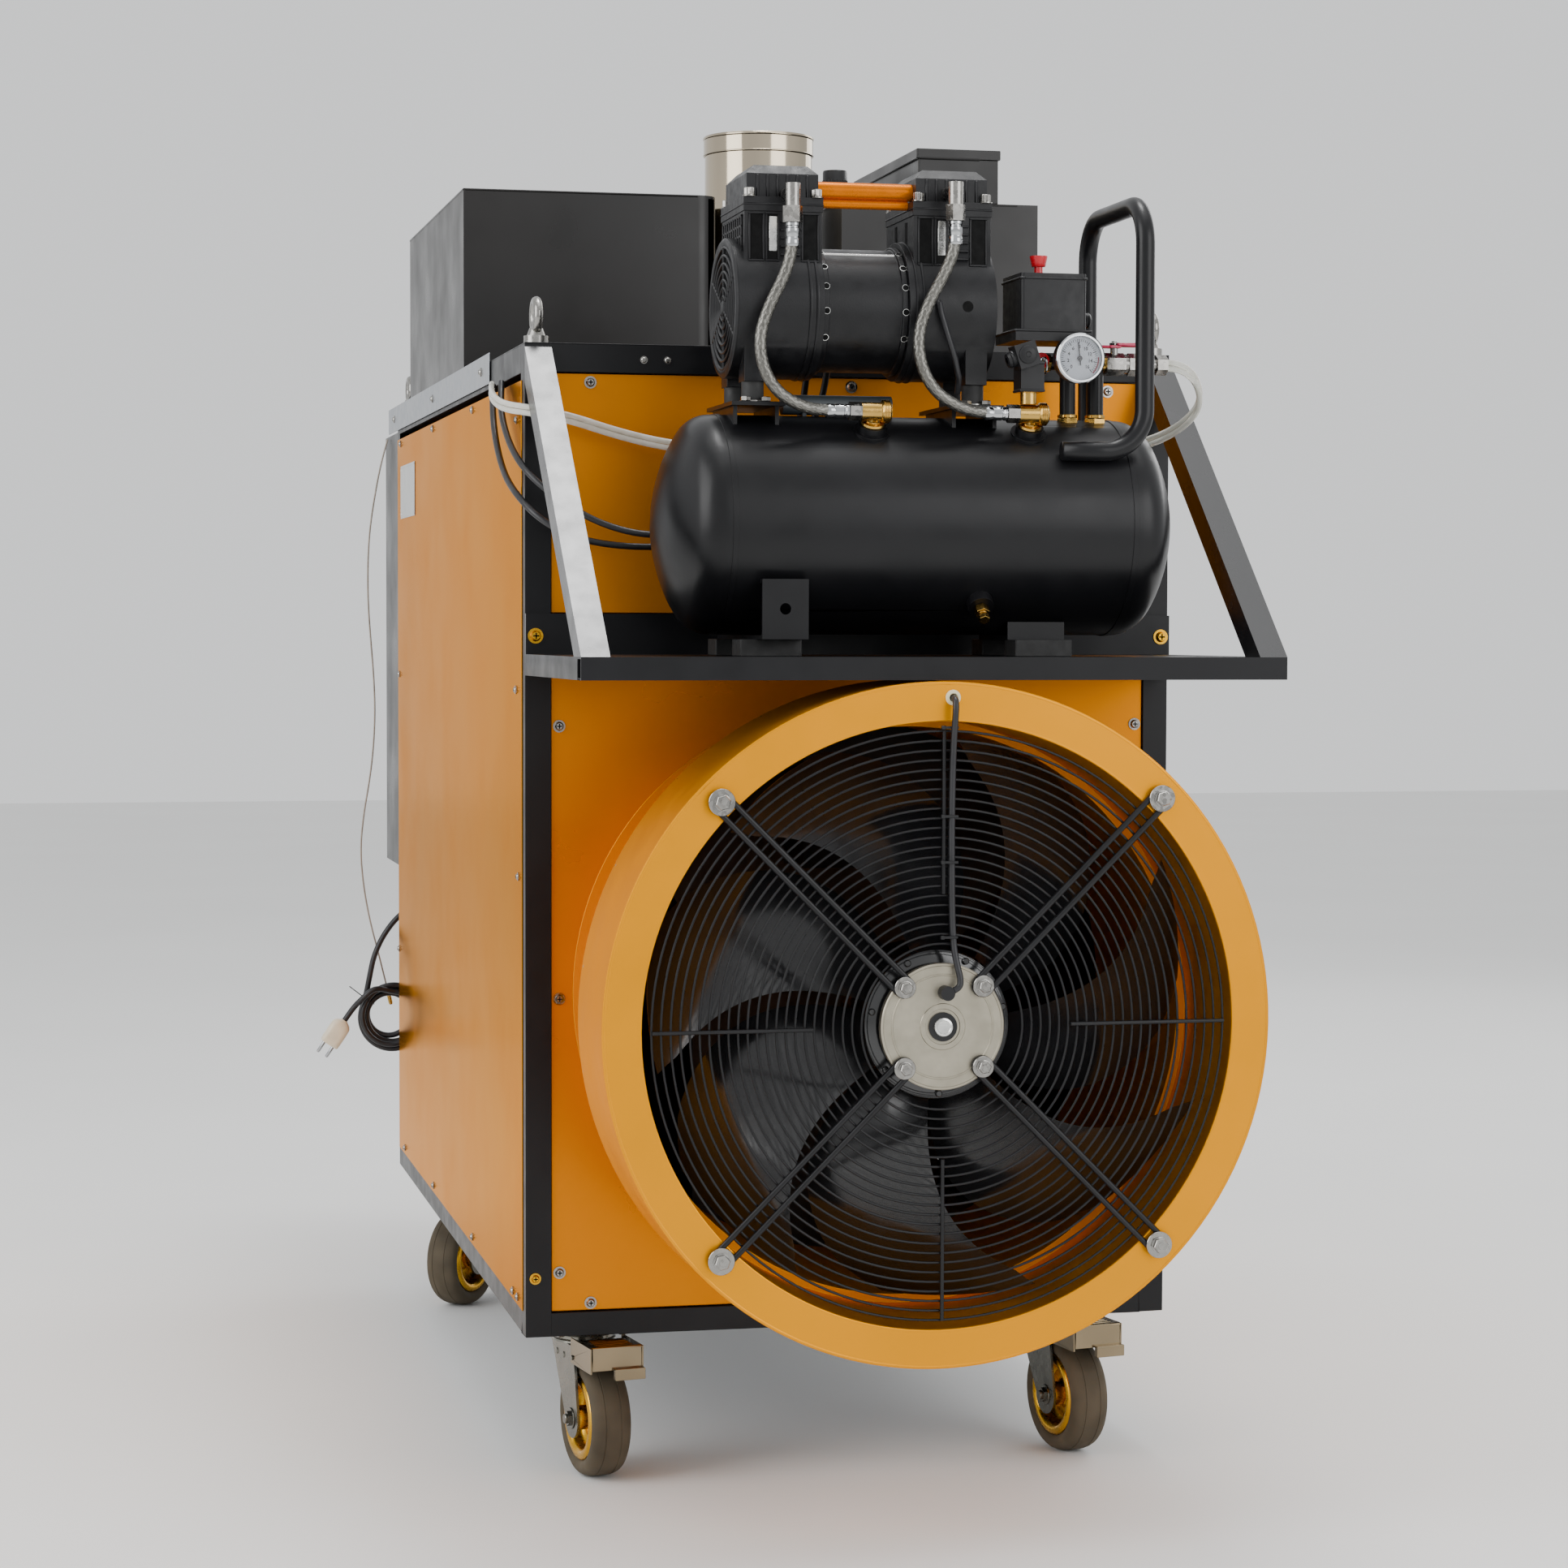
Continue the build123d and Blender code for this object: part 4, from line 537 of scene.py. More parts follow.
POWER_ROUTE = POWER_LEAD + coil_points()[:-1] + [(-379, 1254.5, 240)] + PLUG_LEAD
power = nurbs("power_cord_line", POWER_ROUTE, MAINS_R, CABLE_BLACK)
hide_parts("power_cord", "power_cord_coil")


def superellipse(origin, frame_of, a, b, height, power, steps=40):
    """A rounded oblong ring; a higher power is squarer."""
    ring = []
    for k in range(steps):
        t = 2 * pi * k / steps
        c, s = cos(t), sin(t)
        x = a * abs(c) ** (2 / power) * (1 if c >= 0 else -1)
        y = b * abs(s) ** (2 / power) * (1 if s >= 0 else -1)
        ring.append(origin + frame_of @ Vector((x, y, height)) / 1000)
    return ring


def plug_body():
    """The moulded plug, and its two round pins."""
    way = (Vector(PLUG_LEAD[-1]) - Vector(PLUG_LEAD[-2])).normalized()
    side = Vector(REAR).cross(way).normalized()
    frame_of = Matrix((side, way.cross(side), way)).transposed()
    origin = at(*PLUG_LEAD[-1])
    profile = [(0, 4.6, 4.6, 2.0), (1.5, 6.5, 5.8, 2.2), (4, 10.5, 8, 2.6), (8, 13.4, 9.6, 3.2),
        (14, 14, 10.4, 3.6), (22, 14, 10.8, 4.0), (34, 13.8, 10.6, 4.5), (38.5, 13.4, 10.2, 4.5),
        (39.8, 12.4, 9.4, 4.5)]
    body = loft([superellipse(origin, frame_of, a, b, h, p) for h, a, b, p in profile])
    feet = [Vector(PLUG_LEAD[-1]) + way * profile[-1][0] + side * 7.0 * sign for sign in (-1, 1)]
    return body, [lathe(foot, way, [(2.4, -1), (2.4, 16), (1.6, 17.6), (0, 18)], 20) for foot in feet]


plug_shape, pin_shapes = plug_body()
plug = piece("mains_plug", [plug_shape], WHITE_PLASTIC, smooth=35)
plug_pins = piece("mains_plug_pins", pin_shapes, CHROME)
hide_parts("power_plug")
relief = piece("lead_strain_relief", [lathe((-318, 1275, 405), DOWN, [(9.4, -0.5), (9.6, 3), (8.3, 4.5),
    (9.2, 6), (8.0, 7.5), (8.8, 9), (7.6, 10.5), (8.4, 12), (7.2, 13.5), (8.0, 15), (6.9, 17), (7.6, 19),
    (6.6, 21.5), (5.0, 22.3), (4.1, 22.3)], 28)], RUBBER_BLACK)


def tie_wire():
    """Twisted wire round the coil's bunched turns, with one end standing off."""
    a = radians(TIE_ANGLE)
    out = Vector((cos(a), 0, sin(a)))
    middle = Vector(COIL) + out * 40
    loop = []
    for k in range(25):
        t = 2 * pi * k / 24 * 0.98
        loop.append(middle + out * 9.4 * cos(t) + Vector(REAR) * 13.6 * sin(t))
    tail = [loop[-1] + (out * 6 + Vector((-2, -1, 2))) * share for share in (0.4, 1.0, 1.8, 2.8)]
    return tube([at(*point) for point in loop + tail], 0.7, 8)


tie = piece("coil_tie_wire", [tie_wire()], PLASTIC_BLACK)
declare(POWER_ROUTE, MAINS_R)


# ---- braided hoses
def even(line, step):
    """Points at a fixed spacing along a line."""
    points = [line[0].copy()]
    left = step
    for a, b in zip(line, line[1:]):
        run = (b - a).length
        done = 0.0
        while run - done >= left:
            done += left
            points.append(a.lerp(b, done / run))
            left = step
        left -= run - done
    points.append(line[-1].copy())
    return points


def braid(line, radius, sides=96, bands=8, step=0.6, pitch=20.0):
    """Tube whose surface rises and falls as two sets of crossing wire bands."""
    spine = even(line, step / 1000)
    rings = []
    side = (spine[1] - spine[0]).orthogonal().normalized()
    for i, point in enumerate(spine):
        ring = []
        way = (spine[min(i + 1, len(spine) - 1)] - spine[max(i - 1, 0)]).normalized()
        side = (side - way * side.dot(way)).normalized()
        up = way.cross(side)
        for k in range(sides):
            a = 2 * pi * k / sides
            wind = 2 * pi * i * step / pitch
            one = bands * (a + wind)
            two = bands * (a - wind)
            over = cos(one / 2) * cos(two / 2) * sin(one / 2) * sin(two / 2) > 0
            strand = abs(sin(one)) if over else abs(sin(two))
            wires = 0.25 * abs(sin(one * 3 if over else two * 3))
            r = (radius - 0.8 + 0.55 * strand + wires) / 1000
            ring.append(point + (side * cos(a) + up * sin(a)) * r)
        rings.append(ring)
    return loft(rings, ends=(False, False))


HOSE_Y = -262.0
LEFT_HOSE = [(-126, HOSE_Y, 1135.9), (-126, HOSE_Y, 1110), (-134, HOSE_Y, 1084), (-149, HOSE_Y, 1056),
    (-159, HOSE_Y, 1026), (-156, HOSE_Y - 1, 996), (-142, HOSE_Y - 1, 972), (-117, HOSE_Y + 1, 958),
    (-91, -252.9, 955.1), (-67.2, -252.9, 955.1)]
RIGHT_HOSE = [(38, HOSE_Y, 1141.9), (38, HOSE_Y, 1115), (26, HOSE_Y, 1088), (10, HOSE_Y, 1060),
    (0, HOSE_Y, 1030), (3, HOSE_Y - 1, 1000), (17, HOSE_Y - 1, 975), (42, HOSE_Y + 1, 960),
    (69, -252.9, 955.1), (93.8, -252.9, 955.1)]


def ferrule(foot, axis, length=23.0):
    """Crimped sleeve on a hose end, pressed in two rings."""
    return lathe(foot, axis, [(6.0, -0.2), (6.9, 0.4), (6.9, 3), (6.2, 3.8), (6.2, 5.2), (6.9, 6),
        (6.9, 13), (6.3, 13.8), (6.3, 15.2), (6.9, 16), (6.9, length - 1), (6.3, length)], 32)


for hose_name, hose_route in (("left", LEFT_HOSE), ("right", RIGHT_HOSE)):
    line = route(hose_route)
    hose = piece(f"{hose_name}_braided_hose", [braid(line, HOSE_R)], BRAID, smooth=0)
    sleeves = piece(f"{hose_name}_hose_ferrules", [ferrule(hose_route[0], DOWN),
        ferrule(hose_route[-1], LEFT)], CHROME)
    if hose_name == "left":
        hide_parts("compressor_hoses")
    path = [tuple(point) for point in even(line, 0.004)]
    declare(hose_route, HOSE_R)


# ---- fan
FAN_Z = 360.5
FAN_FRONT = -365.0


def fan_point(radius, angle, y):
    return at(radius * cos(radians(angle)), y, FAN_Z + radius * sin(radians(angle)))


def blade(first):
    """Thin cambered sickle blade between a leading and a trailing edge that sweep with radius."""
    rows, columns = 22, 14
    front, rear = [], []
    for i in range(rows + 1):
        share = i / rows
        radius = 62 + (276.5 - 62) * share
        lead = 4 + 4 * share + 26 * share**2.2
        chord = 42 + 6 * share - 14 * share**2
        if share > 0.9:
            lead -= (share - 0.9) * 26
            chord -= (share - 0.9) * 60
        depth = 44 + 40 * share
        for j in range(columns + 1):
            across = j / columns
            angle = first - 33.4 + lead + 3.0 - chord * across
            y = -340 + depth * across + 7 * sin(pi * across) * (1 - 0.4 * share)
            thick = 1.6 * (1 - (2 * across - 1) ** 2) + 0.5
            front.append(fan_point(radius, angle, y - thick / 2))
            rear.append(fan_point(radius, angle, y + thick / 2))
    wide = columns + 1
    verts = front + rear
    offset = len(front)
    faces = []
    for i in range(rows):
        for j in range(columns):
            a, b, c, d = i * wide + j, i * wide + j + 1, (i + 1) * wide + j + 1, (i + 1) * wide + j
            faces.append((a, d, c, b))
            faces.append((a + offset, b + offset, c + offset, d + offset))
    rim = [*range(columns), *range(columns, rows * wide, wide)]
    rim += [*range(rows * wide + columns, rows * wide, -1), *range(rows * wide, 0, -wide)]
    for k, a in enumerate(rim):
        b = rim[(k + 1) % len(rim)]
        faces.append((a, b, b + offset, a + offset))
    return verts, faces


def impeller():
    for count in range(7):
        yield blade(33.4 + 360 / 7 * count)
    yield lathe((0, -346, FAN_Z), REAR, [(11, 0), (40, 0), (44, 1.5), (47, 0), (66, 0), (72, 3), (74, 8),
        (74, 96), (70, 104), (58, 106), (11, 106)], 72)
    for count in range(7):
        turn_by = 360 / 7 * count + 14
        foot = fan_point(67, turn_by, -347)
        machine = (foot.x * 1000, foot.y * 1000 + MIDDLE_Y, foot.z * 1000 - CLEARANCE)
        yield lathe(machine, FRONT, [(3.4, -1.5), (3.4, 1.0), (2.6, 1.8), (0, 1.8)], 14)


wheel = piece("fan_wheel", impeller(), FAN_BLACK, body="fan_impeller_body", smooth=32)
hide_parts("fan_impeller")


def guard():
    wires = 23
    for count in range(wires):
        yield hoop((0, FAN_FRONT + 1.3, FAN_Z), REAR, 80 + (284 - 80) / (wires - 1) * count, 1.25, 120, 8)
    for turn_by in (0, 90, 180, 270):
        yield tube([fan_point(r, turn_by, FAN_FRONT - 2.0) for r in (128, 180, 232, 284)], 2.0, 10)


guard_piece = piece("intake_guard_wires", guard(), WIRE_BLACK, smooth=50)
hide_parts("fan_guard")


def hairpins():
    """Four double rods looped round a ring bolt and a hub bolt."""
    for count in range(4):
        a = radians(45 + 90 * count)
        u = Vector((cos(a), 0, sin(a)))
        v = Vector((-sin(a), 0, cos(a)))
        hub = Vector((0, FAN_FRONT - 3, FAN_Z)) + u * 55
        ring_end = Vector((0, FAN_FRONT - 3, FAN_Z)) + u * 308
        loop = arc_path(ring_end, u, v, 8, -90, 90, 10) + arc_path(hub, u, v, 8, 90, 270, 10)
        yield tube([at(*p) for p in loop], 3.0, 12, closed=True)


rods = piece("hairpin_struts", hairpins(), WIRE_BLACK, smooth=50)
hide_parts("fan_struts")


def strut_fixings():
    for count in range(4):
        a = radians(45 + 90 * count)
        for radius, washer, flats in ((308, 13.0, 13.0), (55, 10.5, 11.0)):
            x, y, z = radius * cos(a), FAN_FRONT - 6, FAN_Z + radius * sin(a)
            yield lathe((x, y, z), FRONT, [(4.4, 0), (washer - 0.4, 0), (washer, 0.5), (washer, 1.6),
                (washer - 0.5, 2.1), (4.4, 2.1)], 40)
            yield lathe((x, y - 2.1, z), FRONT, [(3, 0), (flats * 0.62, 0), (flats * 0.62, 0.7), (3, 1.6)],
                32)
            yield prism((x, y - 2.9, z), FRONT, flats, 5.4, 0.7, spin=0.3 + count)
            yield lathe((x, y - 8.2, z), FRONT, [(3.6, 0), (3.4, 0.5), (0, 0.6)], 20)
            yield lathe((x, y, z), REAR, [(4, 0), (4, 6)], 16)


fixings = piece("strut_washers_and_bolts", strut_fixings(), ZINC, smooth=30)
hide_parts("strut_bolts")


def drum_screws():
    for count in range(20):
        a = radians(9 + 18 * count)
        foot = (330.6 * cos(a), -233, FAN_Z + 330.6 * sin(a))
        yield lathe(foot, (cos(a), 0, sin(a)), [(2.6, 0), (2.4, 0.5), (1.2, 0.75), (0, 0.8)], 14)


piece("drum_edge_screws", drum_screws(), ZINC)


# ---- casters
SPOTS = (("fl", -274.0, 84.0, 9.5), ("fr", 252.0, 88.0, 10.5), ("rl", -267.0, 1030.0, -38.0),
    ("rr", 267.0, 1030.0, -12.0))


for spot, x, y, turned in SPOTS:
    a = radians(turned)
    hub, axis = (x + 35 * sin(a), y - 35 * cos(a), -97.5), (cos(a), sin(a), 0)
    half = [(43.4, -14), (44.6, -17.6), (47.5, -20.2), (51, -21.4), (54.5, -21.2), (57.5, -19.6),
        (59.6, -17.2), (61.2, -13.6), (62.1, -9.4), (61.6, -9.0), (61.6, -8.2), (62.2, -7.8), (62.45, -3.0),
        (62.5, 0)]
    profile = half + [(r, -h) for r, h in reversed(half[:-1])]
    tyre = piece(f"tyre_{spot}", [lathe(hub, axis, profile, 96)], TYRE,
        body=f"caster_wheel_{spot}_body", smooth=50)
    near = [(6.06, -22), (12.5, -22), (13, -21), (13, -8), (16.5, -5), (27, -4.2), (30, -6), (32, -10),
        (33, -15.5), (34.2, -18.6), (36.5, -20.6), (39.2, -21.2), (42, -20.8), (44, -19.6), (44.8, -18.2),
        (44.4, -16)]
    rim_profile = near + [(r, -h) for r, h in reversed(near)]
    piece(f"rim_{spot}", [lathe(hub, axis, rim_profile, 72)], GOLD_ZINC,
        body=f"caster_wheel_{spot}_body", smooth=35)
    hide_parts(f"caster_wheel_{spot}")


def on_caster(x, y, turned, px, py, pz):
    """A point drawn about a caster's swivel axis, in the machine frame."""
    a = radians(turned)
    return (x + px * cos(a) - py * sin(a), y + px * sin(a) + py * cos(a), pz)


def caster_details(x, y, turned):
    """Ball race rings, axle nuts and washers on one fork."""
    a = radians(turned)
    yield lathe((x, y, -4.3), DOWN, [(29, 0.3), (33, 1), (34.5, 3), (33, 6), (30.5, 7.5), (31.5, 9),
        (31.5, 12), (33.5, 13.5), (34, 15.5), (29, 15.6)], 64)
    for side in (-1, 1):
        out = (side * cos(a), side * sin(a), 0)
        yield lathe(on_caster(x, y, turned, side * 27.0, -35.0, -97.5), out, [(5, 0), (11, 0), (11.4, 0.6),
            (11, 1.4), (5, 1.5)], 36)
        yield lathe(on_caster(x, y, turned, side * 32.0, -35.0, -97.5), out, [(5.2, 0), (5.2, 2.2),
            (4.6, 3.0), (0, 3.1)], 20)
        for low in (0, 1):
            yield lathe(on_caster(x, y, turned, side * 27.0, 12.0 - 22 * low, -34.0), out,
                [(3.6, 0), (3.2, 0.9), (1.6, 1.3), (0, 1.3)], 16)


for spot, x, y, turned in SPOTS:
    piece(f"fork_details_{spot}", caster_details(x, y, turned), CASTER_STEEL,
        body=f"caster_fork_{spot}_body", smooth=32)


def plate_bolts():
    for _, x, y, _ in SPOTS:
        for dx in (-34, 34):
            for dy in (-44, 44):
                yield prism((x + dx, y + dy, -3.9), DOWN, 11, 4.4, 0.6, spin=dx * 0.1)


piece("caster_plate_bolts", plate_bolts(), ZINC, smooth=30)


def pedal_ribs(x, y, turned):
    """Raised treads and a rolled toe on one brake pedal."""
    for row in range(5):
        yield rod(*(on_caster(x, y, turned, half, -70 - 7 * row, -9.3) for half in (-19, 19)), 0.9)
    yield rod(*(on_caster(x, y, turned, half, -104.6, -10.8) for half in (-27, 27)), 1.6, 10)


for spot, x, y, turned in SPOTS[:2]:
    piece(f"pedal_treads_{spot}", pedal_ribs(x, y, turned), PEDAL_STEEL,
        body=f"caster_pedal_{spot}_body")


# ---- compressor details
PUMP_Y = -180.0
PUMP_Z = 1059.0
PUMP_FOOT_X = (-157.0, 67.0)
CASING_HOLES = list(product((-87.0, -7.0), (-29, -5, 17, 37, 58)))
TOWERS = ((-168.0, -90.0), (3.0, 82.0))
WINDOWS = ((6, 18), (23, 33), (59, 73))
RECEIVER_Z = 845.0
VALVE_TILT = 56.5


def around(x, z, radius, angle):
    """A point off the pump's or receiver's centre line, and the way out to it. 0 degrees is to the front."""
    way = (0, -cos(radians(angle)), sin(radians(angle)))
    return (x, PUMP_Y + radius * way[1], z + radius * way[2]), way


def end_grille():
    """Concentric ring grille on the left crankcase's end, over a recess whose shade is painted by a black
    disc.
    """
    for radius in (12, 20, 28, 36, 44, 52, 60):
        yield hoop((-177.4, PUMP_Y, PUMP_Z), RIGHT, radius, 1.7, 72, 8)
    for count in range(6):
        yield rod(*(around(-177.2, PUMP_Z, radius, 150 - 60 * count)[0] for radius in (6, 62)), 1.8)
    yield lathe((-176, PUMP_Y, PUMP_Z), LEFT, [(8, 0), (8, 2.4), (6.5, 3.4), (0, 3.6)], 32)
    yield lathe((-176, PUMP_Y, PUMP_Z), LEFT, [(61, 0), (61, 2.4), (63, 3.2), (67, 2.8), (69, 1.2),
        (69, 0)], 72)


piece("crankcase_end_grille", end_grille(), CAST_BLACK)
# Painted shade: a thin black disc behind the grille stands in for the shade in the end's recess.
piece("crankcase_end_painted_shade", [lathe((-175.8, PUMP_Y, PUMP_Z), LEFT, [(61.5, 0), (61.5, 0.5), (0, 0.5)],
    48)], PAINTED_SHADE_BLACK)


def grid(x0, x1, y0, y1, z0, z1, columns, rows):
    """Square lattice between two X planes."""
    for column in range(columns + 1):
        y = y0 + (y1 - y0) * column / columns
        yield slab(x0, x1, y - 1.3, y + 1.3, z0 - 1.3, z1 + 1.3, 0.4)
    for row in range(rows + 1):
        z = z0 + (z1 - z0) * row / rows
        yield slab(x0, x1, y0 - 1.3, y1 + 1.3, z - 1.3, z + 1.3, 0.4)


def tower_windows():
    """Frames of the cooling windows on the towers' fronts, and lattices on their outer sides."""
    for left, _ in TOWERS:
        for x0, x1 in WINDOWS:
            a, b = left + x0, left + x1
            for u0, u1, w0, w1 in ((a - 2, a, 1103, 1147), (b, b + 2, 1103, 1147),
                    (a - 2, b + 2, 1101, 1103), (a - 2, b + 2, 1147, 1149)):
                yield slab(u0, u1, -235.4, -233.8, w0, w1, 0.4)
        for z in (1108, 1116, 1124, 1132, 1140):
            yield slab(left + 36.5, left + 56, -235.6, -233.8, z - 1.1, z + 1.1, 0.5)
    yield from grid(-169.6, -168.0, -224, -136, 1106, 1146, 9, 4)


def tower_opening_shades():
    """Painted shade: thin black sheets in the windows, behind the lattice, in the side slots, casing holes
    and cable entry, where their insides fall into shade.
    """
    for left, _ in TOWERS:
        for x0, x1 in WINDOWS:
            yield slab(left + x0, left + x1, -234.5, -233.6, 1103, 1147, 0.2)
    yield slab(-168.5, -167.6, -225, -135, 1105, 1147, 0.2)
    for y in (-164.0, -204.0):
        yield slab(2.6, 3.3, y - 4, y + 4, 1124, 1146, 0.2)
    for x, angle in CASING_HOLES:
        yield lathe(*around(x, PUMP_Z, 63.9, angle), [(2.9, -0.2), (2.9, 0.3), (0, 0.35)], 18)
    yield lathe((54.7, PUMP_Y - 68.9, 1060), FRONT, [(5.5, -0.2), (5.5, 0.2), (0, 0.25)], 24)


piece("cylinder_window_frames", tower_windows(), CAST_BLACK)
piece("cylinder_opening_shades", tower_opening_shades(), PAINTED_SHADE_BLACK)


def liners():
    """Bright cylinder walls in the middle windows, rims of the casing holes and the bare core line."""
    for x, angle in CASING_HOLES:
        yield lathe(*around(x, PUMP_Z, 63.9, angle), [(3.0, -0.2), (3.5, -0.2), (3.4, 0.4), (3.0, 0.4)], 18)
    for left, _ in TOWERS:
        yield slab(left + 24.5, left + 32.6, -235.1, -234.2, 1111, 1145, 0.4)
    yield rod(*(around(x, PUMP_Z, 60.8, 60)[0] for x in (-83, -11)), 1.5, 10)


piece("cylinder_liners_and_core", liners(), BRIGHT_ALUMINIUM)


def casing_ribs():
    """Flange beads of the crankcases and ribs of the heads."""
    for x in (-104, -97, 3.5, 10.5):
        yield lathe((x, PUMP_Y, PUMP_Z), RIGHT, [(67, -1.8), (70.2, -1.2), (70.6, 0), (70.2, 1.2),
            (67, 1.8)], 72)
    for x0, x1 in TOWERS:
        for count in range(6):
            x = x0 + 14 + (x1 - x0 - 28) * count / 5
            yield slab(x - 1.4, x + 1.4, PUMP_Y - 51.4, PUMP_Y + 51.4, 1164, 1186, 0.6)
        yield slab(x0 - 1.6, x1 + 1.6, PUMP_Y - 55.6, PUMP_Y + 55.6, 1155.6, 1157.6, 0.6)


piece("pump_casting_ribs", casing_ribs(), CAST_BLACK)


def pump_bolts():
    for x0, x1 in TOWERS:
        for x in (x0 + 5, x1 - 5):
            for y in (PUMP_Y - 52, PUMP_Y + 52):
                yield lathe((x, y, 1163.8), UP, [(6.6, 0), (6.6, 1.1), (4, 1.3)], 24)
                yield prism((x, y, 1165), UP, 9.4, 7.4, 0.8, spin=x)
    for x in PUMP_FOOT_X:
        for y in (PUMP_Y - 42, PUMP_Y + 42):
            yield lathe((x, y, 964.2), UP, [(13.5, 0), (13.5, 1.4), (11, 1.6), (0, 1.6)], 32)
        for dx in (-10, 10):
            yield prism((x + dx, -236, 964.2), UP, 9, 4.6, 0.7, spin=dx)


piece("pump_bolts", pump_bolts(), ZINC, smooth=30)


GAUGE_X, DIAL_Y, GAUGE_Z = 165.0, -264.15, 1010.0


def gauge_marks():
    """Scale ticks of the dial."""
    for count in range(41):
        a = radians(225 - 270 * count / 40)
        inner = 15.0 if count % 5 == 0 else 16.6
        wide = 0.4 if count % 5 == 0 else 0.22
        u = Vector((cos(a), 0, sin(a)))
        v = Vector((-sin(a), 0, cos(a)))
        c = Vector((GAUGE_X, DIAL_Y + 0.05, GAUGE_Z))
        corners = [c + u * r + v * half for r, half in ((inner, -wide), (19, -wide), (19, wide),
            (inner, wide))]
        yield wafer(corners, Vector(FRONT), 0.15, 0)


def gauge_arc():
    """Red band at the top of the scale, with a face to the front and one behind."""
    steps = 14
    outer = arc_path((GAUGE_X, DIAL_Y, GAUGE_Z), RIGHT, UP, 20.6, 5, -45, steps)
    inner = arc_path((GAUGE_X, DIAL_Y, GAUGE_Z), RIGHT, UP, 19.2, -45, 5, steps)
    ring = [at(*p) for p in outer + inner]
    behind = [at(p[0], p[1] + 0.2, p[2]) for p in outer + inner]
    count = len(ring)
    faces = []
    for k in range(steps):
        faces.append((k, k + 1, count - 2 - k, count - 1 - k))
        faces.append((count + k, count + count - 1 - k, count + count - 2 - k, count + k + 1))
    return ring + behind, faces


piece("gauge_scale_ticks", gauge_marks(), INK, smooth=0)
piece("gauge_red_arc", [gauge_arc()], INK_RED, smooth=0)


def numeral(label, x, z, size):
    """A small number standing on the dial."""
    data = bpy.data.curves.new("dial_number_" + label, "FONT")
    data.body = label
    data.size = size / 1000
    data.extrude = 0.0001
    data.offset = 0.00012
    data.align_x = "CENTER"
    data.align_y = "CENTER"
    data.materials.append(INK)
    thing = bpy.data.objects.new("dial_number_" + label, data)
    bpy.context.scene.collection.objects.link(thing)
    thing.matrix_world = Matrix.Translation(at(x, DIAL_Y, z)) @ Matrix.Rotation(pi / 2, 4, "X")
    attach(thing, "machine")


for count in range(9):
    a = radians(225 - 270 * count / 8)
    numeral(str(2 * count), GAUGE_X + 11.6 * cos(a), GAUGE_Z + 11.6 * sin(a), 4.6)

piece("gauge_bezel", [lathe((GAUGE_X, -262, GAUGE_Z), FRONT, [(22.2, 1.8), (22.2, 6.2), (22.8, 7.6),
    (24, 8.2), (25, 7.4), (25.3, 5.4), (25, 3), (24.1, 2.4)], 72)], CHROME)
piece("gauge_window", [lathe((GAUGE_X, -262, GAUGE_Z), FRONT, [(22.2, 6.3), (22.2, 7.0), (0, 7.2)], 64)],
    GLASS)


def fittings():
    """Collars and knurled caps of the check valves, and nuts of the manifold and gauge."""
    for x in (-41.0, 120.0):
        yield lathe(*around(x, RECEIVER_Z, 117.8, VALVE_TILT), [(8, 0), (11.5, 0.2), (12, 1.2), (11.5, 3.4),
            (8.4, 4.0), (8.4, 6)], 40)
        centre, _ = around(x, RECEIVER_Z, 132, VALVE_TILT)
        knurled = []
        for k in range(5):
            knurled += [(11.0, 7 + 1.5 * k), (11.5, 7.75 + 1.5 * k)]
        yield lathe(centre, RIGHT, [(9.4, 5.8)] + knurled + [(11, 14.4), (9.4, 15.6), (7, 16.2), (0, 16.2)],
            60)
    for x in (173.0, 202.0):
        yield prism((x, -200, 946), UP, 20, 9, 1.0, spin=0.2)
        yield lathe((x, -200, 955), UP, [(8, 0), (10, 0.4), (10, 3), (8.2, 3.6)], 32)
    yield prism((173, -200, 1018), UP, 19, 8, 1.0, spin=0.5)
    yield prism((165, -243.6, 1010), FRONT, 13, 8, 0.8, spin=0.2)
    yield prism((146, -200, 1010), RIGHT, 17, 8, 0.9)


piece("manifold_nuts_and_collars", fittings(), BRASS, smooth=30)
piece("valve_lever_nut", [prism((222, -200, 1028.7), UP, 9, 3.2, 0.5, spin=0.3),
    lathe((222, -200, 1031.7), UP, [(2.6, 0), (2.6, 1.6), (0, 2.0)], 20)], ZINC,
    body="valve_lever_body", smooth=30)
piece("valve_lever_sleeve", [slab(223.6, 246.6, -207, -193, 1027.9, 1031.6, 1.2)], LEVER_RED,
    body="valve_lever_body")

knob = piece("switch_knob_cup", [lathe((137, -216, 1104), UP, [(4.4, -8), (4.4, 0), (6.6, 0.3), (7.1, 1.2),
    (7.6, 4), (8.9, 9.4), (9.0, 11), (7.6, 11), (6.4, 8.6), (3, 7.6), (0, 7.4)], 40)], RED,
    body="switch_knob_body")
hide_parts("switch_knob")


def switch_details():
    """Parting lines, cable gland and knob collar of the pressure switch."""
    yield slab(102, 182, -253, -179, 1036.6, 1039.2, 0.8)
    for x0, x1 in ((108.2, 114.2), (171.8, 177.8)):
        yield slab(x0, x1, -250.8, -181.2, 1088.6, 1091.4, 0.8)
    for y0, y1 in ((-250.8, -244.8), (-187.2, -181.2)):
        yield slab(112, 174, y0, y1, 1088.6, 1091.4, 0.8)
    yield lathe((185, -216, 1052), RIGHT, [(9, -9), (9, -2), (7.4, -1.4), (8.4, 0), (7, 2), (7.8, 4),
        (6.2, 6), (3.5, 7)], 24)
    yield lathe((137, -216, 1095), UP, [(12.4, 0), (12.4, 1.4), (11.4, 2.2), (10.4, 2.2), (10.2, 0)], 40)


piece("pressure_switch_trim", switch_details(), PLASTIC_BLACK, smooth=35)


